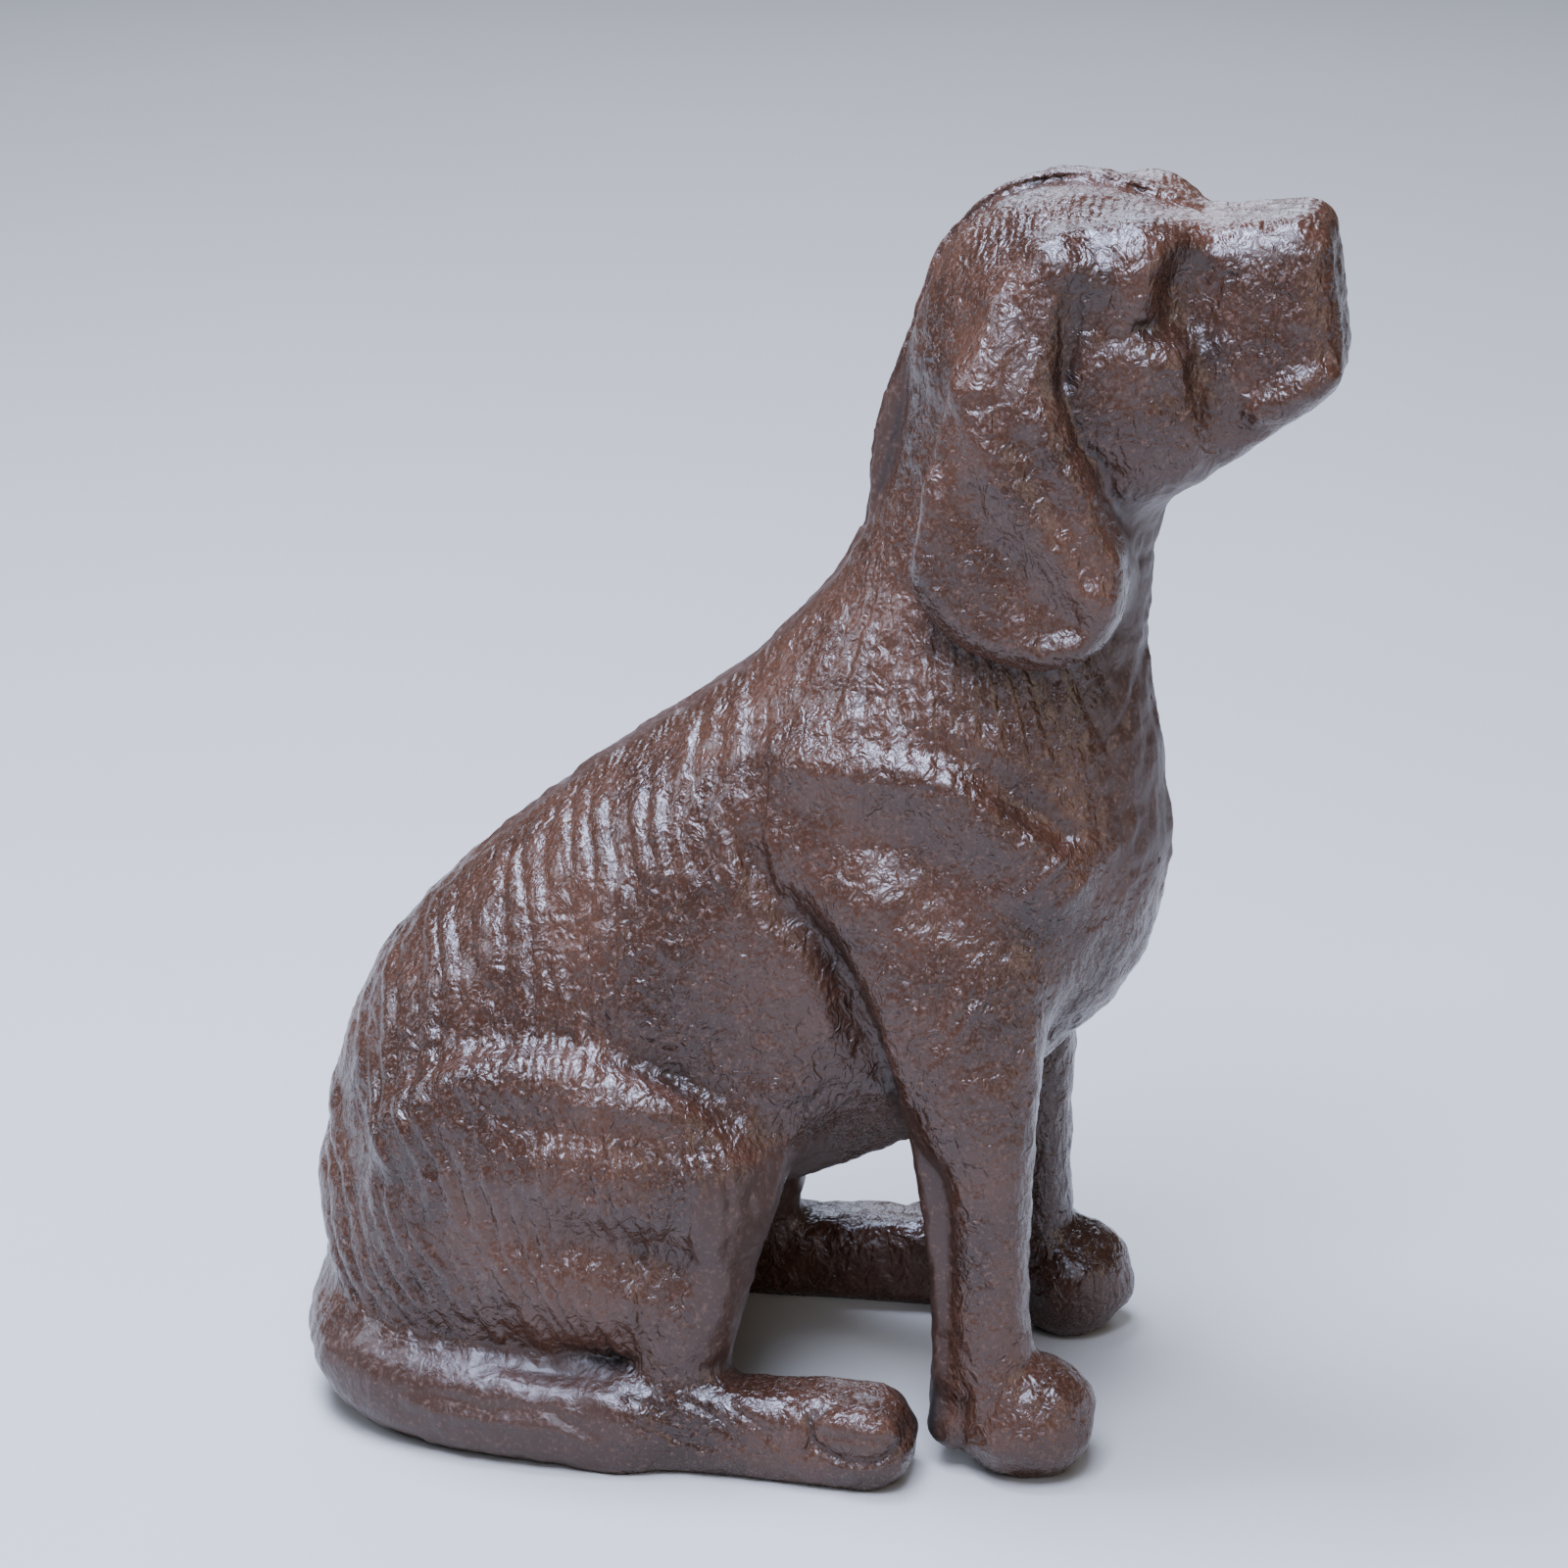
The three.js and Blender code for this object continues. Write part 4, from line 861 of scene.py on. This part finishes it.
class Nodes:
    """A short way to write a shader's nodes."""

    def __init__(self, name):
        self.material = bpy.data.materials.new(name)
        self.material.use_nodes = True
        self.tree = self.material.node_tree
        self.shader = self.tree.nodes["Principled BSDF"]

    def add(self, kind, inputs=None, **settings):
        node = self.tree.nodes.new("ShaderNode" + kind)
        for key, value in settings.items():
            setattr(node, key, value)
        for key, value in (inputs or {}).items():
            self.feed(node.inputs[key], value)
        return node

    def feed(self, socket, value):
        if isinstance(value, bpy.types.NodeSocket):
            self.tree.links.new(value, socket)
        else:
            socket.default_value = value

    def noise(self, place, scale, detail=3.0, roughness=0.5, distortion=0.0):
        inputs = {"Vector": place, "Scale": scale, "Detail": detail, "Roughness": roughness}
        return self.add("TexNoise", {**inputs, "Distortion": distortion}).outputs["Fac"]

    def between(self, value, low, high, start=0.0, end=1.0):
        """The value's way from low to high, as a number from start to end."""
        inputs = {"Value": value, "From Min": low, "From Max": high, "To Min": start, "To Max": end}
        return self.add("MapRange", inputs).outputs["Result"]

    def math(self, operation, a, b):
        node = self.add("Math", operation=operation)
        self.feed(node.inputs[0], a)
        self.feed(node.inputs[1], b)
        return node.outputs[0]

    def blend(self, factor, a, b):
        node = self.add("Mix", {"Factor": factor}, data_type="RGBA")
        self.feed(node.inputs["A"], a)
        self.feed(node.inputs["B"], b)
        return node.outputs["Result"]

    def bump(self, height, distance, strength=1.0, normal=None):
        inputs = {"Height": height, "Distance": distance, "Strength": strength}
        if normal:
            inputs["Normal"] = normal
        return self.add("Bump", inputs).outputs["Normal"]


DARK_BROWN = (0.026, 0.0106, 0.0062, 1)
LIGHT_BROWN = (0.060, 0.0238, 0.0128, 1)
RUBBED_BROWN = (0.038, 0.0160, 0.0092, 1)
SPECK_BROWN = (0.095, 0.048, 0.032, 1)
# Painted shade: the near-black brown that hollows and crevices are darkened towards
PAINTED_SHADE_BROWN = (0.013, 0.0072, 0.0050, 1)
FLOOR_DARK, FLOOR_LIGHT = (0.38, 0.355, 0.32, 1), (0.42, 0.393, 0.355, 1)
# How fine each pattern of the iron is, in cells or waves to a metre
CLOUD_SCALE = 45
STROKE_WAVER_SCALE = 160
PEEL_SCALE = 480
PIT_SCALE = 520
GRAIN_SCALE = 1500
# How far each one stands out or goes in, in millimetres
PEEL_HEIGHT = 0.9
PIT_DEPTH = 0.12
STROKE_DEPTH = 0.14
GRAIN_HEIGHT = 0.12


def cast_iron():
    """Dark brown, oiled cast iron: grain, pits and tool marks, with painted shade that darkens its hollows
    towards near black.
    """
    n = Nodes("brown_cast_iron")
    place = n.add("TexCoord").outputs["Object"]
    shelter = n.add("Attribute", attribute_name="shelter").outputs["Fac"]
    smooth = n.add("Attribute", attribute_name="smooth").outputs["Fac"]
    tooled = n.add("Attribute", attribute_name="tooled").outputs["Fac"]
    hollow = n.between(shelter, 0.25, 0.75)
    clouds = n.noise(place, CLOUD_SCALE, 4, 0.6)
    grain = n.noise(place, GRAIN_SCALE, 2, 0.5, 0.4)
    brown = n.blend(n.between(clouds, 0.35, 0.65), DARK_BROWN, LIGHT_BROWN)
    brown = n.blend(smooth, brown, RUBBED_BROWN)
    speckled = n.blend(n.between(grain, 0.54, 0.75), brown, SPECK_BROWN)
    # Painted shade: the colour darkens towards near black the more sheltered a point lies in a hollow
    n.feed(n.shader.inputs["Base Color"], n.blend(hollow, speckled, PAINTED_SHADE_BROWN))
    wear = n.math("ADD", n.between(clouds, 0.3, 0.7, 0.20, 0.30), n.between(hollow, 0, 1, 0, 0.15))
    wear = n.math("ADD", wear, n.between(smooth, 0, 1, 0, 0.22))
    n.feed(n.shader.inputs["Roughness"], n.math("ADD", wear, n.between(grain, 0.3, 0.7, -0.05, 0.08)))
    n.shader.inputs["Metallic"].default_value = 0.0
    n.shader.inputs["Specular IOR Level"].default_value = 0.46
    n.shader.inputs["Coat Weight"].default_value = 0.16
    n.shader.inputs["Coat Roughness"].default_value = 0.15
    rough = n.between(smooth, 0, 1, 1, 0.25)
    drawn = n.add("Mapping", {"Vector": place, "Scale": (1, 1, 0.7)}).outputs["Vector"]
    peel = n.math("MULTIPLY", n.noise(drawn, PEEL_SCALE, 2, 0.5, 1.0), rough)
    pits = n.add("TexVoronoi", {"Vector": place, "Scale": PIT_SCALE}, feature="F1").outputs["Distance"]
    along = n.add("SeparateXYZ", {"Vector": place}).outputs["X"]
    turns = n.math("MULTIPLY", along, 2 * math.pi / (STROKE_PITCH * MM))
    turns = n.math("ADD", turns, n.math("MULTIPLY", n.noise(place, STROKE_WAVER_SCALE, 2), 14))
    strokes = n.math("MULTIPLY", n.math("SINE", turns, 0), tooled)
    surface = n.bump(peel, PEEL_HEIGHT * MM)
    pitted = n.math("MULTIPLY", n.between(pits, 0.0, 0.35), rough)
    surface = n.bump(pitted, PIT_DEPTH * MM, 0.7, surface)
    surface = n.bump(n.between(strokes, -1, 1), STROKE_DEPTH * MM, 1.0, surface)
    surface = n.bump(n.math("MULTIPLY", grain, rough), GRAIN_HEIGHT * MM, 1.0, surface)
    n.feed(n.shader.inputs["Normal"], surface)
    return n.material


def pale_floor():
    """A plain, pale, matt floor."""
    n = Nodes("pale_floor")
    place = n.add("TexCoord").outputs["Object"]
    clouds = n.noise(place, 6, 3, 0.5)
    n.feed(n.shader.inputs["Base Color"], n.blend(clouds, FLOOR_DARK, FLOOR_LIGHT))
    n.shader.inputs["Roughness"].default_value = 0.75
    return n.material


dog, form_shift = make_dog()
dog.data.materials.append(cast_iron())
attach(dog, "root")
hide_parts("dog")

# The stage: floor, soft light and the camera at the photograph's angle

FLOOR_SIZE = 8.0
floor_corners = np.array([[-1, -1, 0], [1, -1, 0], [1, 1, 0], [-1, 1, 0]]) * FLOOR_SIZE
floor_mesh = mesh_of("floor", floor_corners, np.array([[0, 1, 2, 3]]))
floor = bpy.data.objects.new("floor", floor_mesh)
floor.data.materials.append(pale_floor())
bpy.context.scene.collection.objects.link(floor)


def aim_at(place, aim):
    """The turn that makes a light or a camera at that place face its aim."""
    return (Vector(place) - Vector(aim)).to_track_quat("Z", "Y")


def area_light(name, place, aim, size, power, colour):
    """A square soft light at a place, turned to face its aim."""
    data = bpy.data.lights.new(name, "AREA")
    data.shape, data.size = "SQUARE", size
    data.energy, data.color = power, colour
    light = bpy.data.objects.new(name, data)
    light.location = place
    light.rotation_euler = aim_at(place, aim).to_euler()
    bpy.context.scene.collection.objects.link(light)


CAMERA_YAW = math.radians(10)
CAMERA_TILT = math.radians(19)
CAMERA_DISTANCE = 0.8
AIM_HEIGHT = 0.098
PIXELS_IN_A_MM = 6.73
IMAGE_PIXELS = 1600
SENSOR = 36.0

aim = np.array([form_shift[0] * MM, form_shift[1] * MM, AIM_HEIGHT])
back = np.array([
    math.sin(CAMERA_YAW) * math.cos(CAMERA_TILT),
    -math.cos(CAMERA_YAW) * math.cos(CAMERA_TILT),
    math.sin(CAMERA_TILT),
])
camera_data = bpy.data.cameras.new("camera")
camera_data.sensor_width = SENSOR
camera_data.lens = SENSOR * PIXELS_IN_A_MM * CAMERA_DISTANCE / MM / IMAGE_PIXELS
camera_data.clip_end = 50
camera = bpy.data.objects.new("camera", camera_data)
camera.location = aim + back * CAMERA_DISTANCE
camera.rotation_euler = aim_at(camera.location, aim).to_euler()
bpy.context.scene.collection.objects.link(camera)
bpy.context.scene.camera = camera

STATUE_MIDDLE, STATUE_LOW = (0, 0, 0.1), (0, 0, 0.06)
# Each light's place, aim, size, power and colour
LIGHTS = {
    "sky": ((-0.22, 0.05, 1.0), STATUE_MIDDLE, 0.4, 31, (0.58, 0.69, 1.0)),
    "high": ((-0.02, -0.45, 0.95), STATUE_MIDDLE, 0.46, 28, (0.60, 0.70, 1.0)),
    "low": ((0.05, -0.95, 0.68), STATUE_MIDDLE, 0.4, 4.5, (0.66, 0.76, 1.0)),
    "left": ((-0.85, -0.2, 0.6), STATUE_MIDDLE, 0.3, 4, (0.66, 0.78, 1.0)),
    "behind": ((-0.2, 1.1, 0.75), STATUE_MIDDLE, 0.7, 9, (0.68, 0.78, 1.0)),
    "front": ((1.0, -0.55, 0.45), STATUE_LOW, 0.7, 3.5, (1.0, 0.90, 0.80)),
}
for name, settings in LIGHTS.items():
    area_light(name, *settings)

STUDIO_COLOUR = (0.92, 0.88, 0.80, 1)
STUDIO_STRENGTH = 0.12
world = bpy.data.worlds.new("studio")
world.use_nodes = True
world.node_tree.nodes["Background"].inputs["Color"].default_value = STUDIO_COLOUR
world.node_tree.nodes["Background"].inputs["Strength"].default_value = STUDIO_STRENGTH
bpy.context.scene.world = world
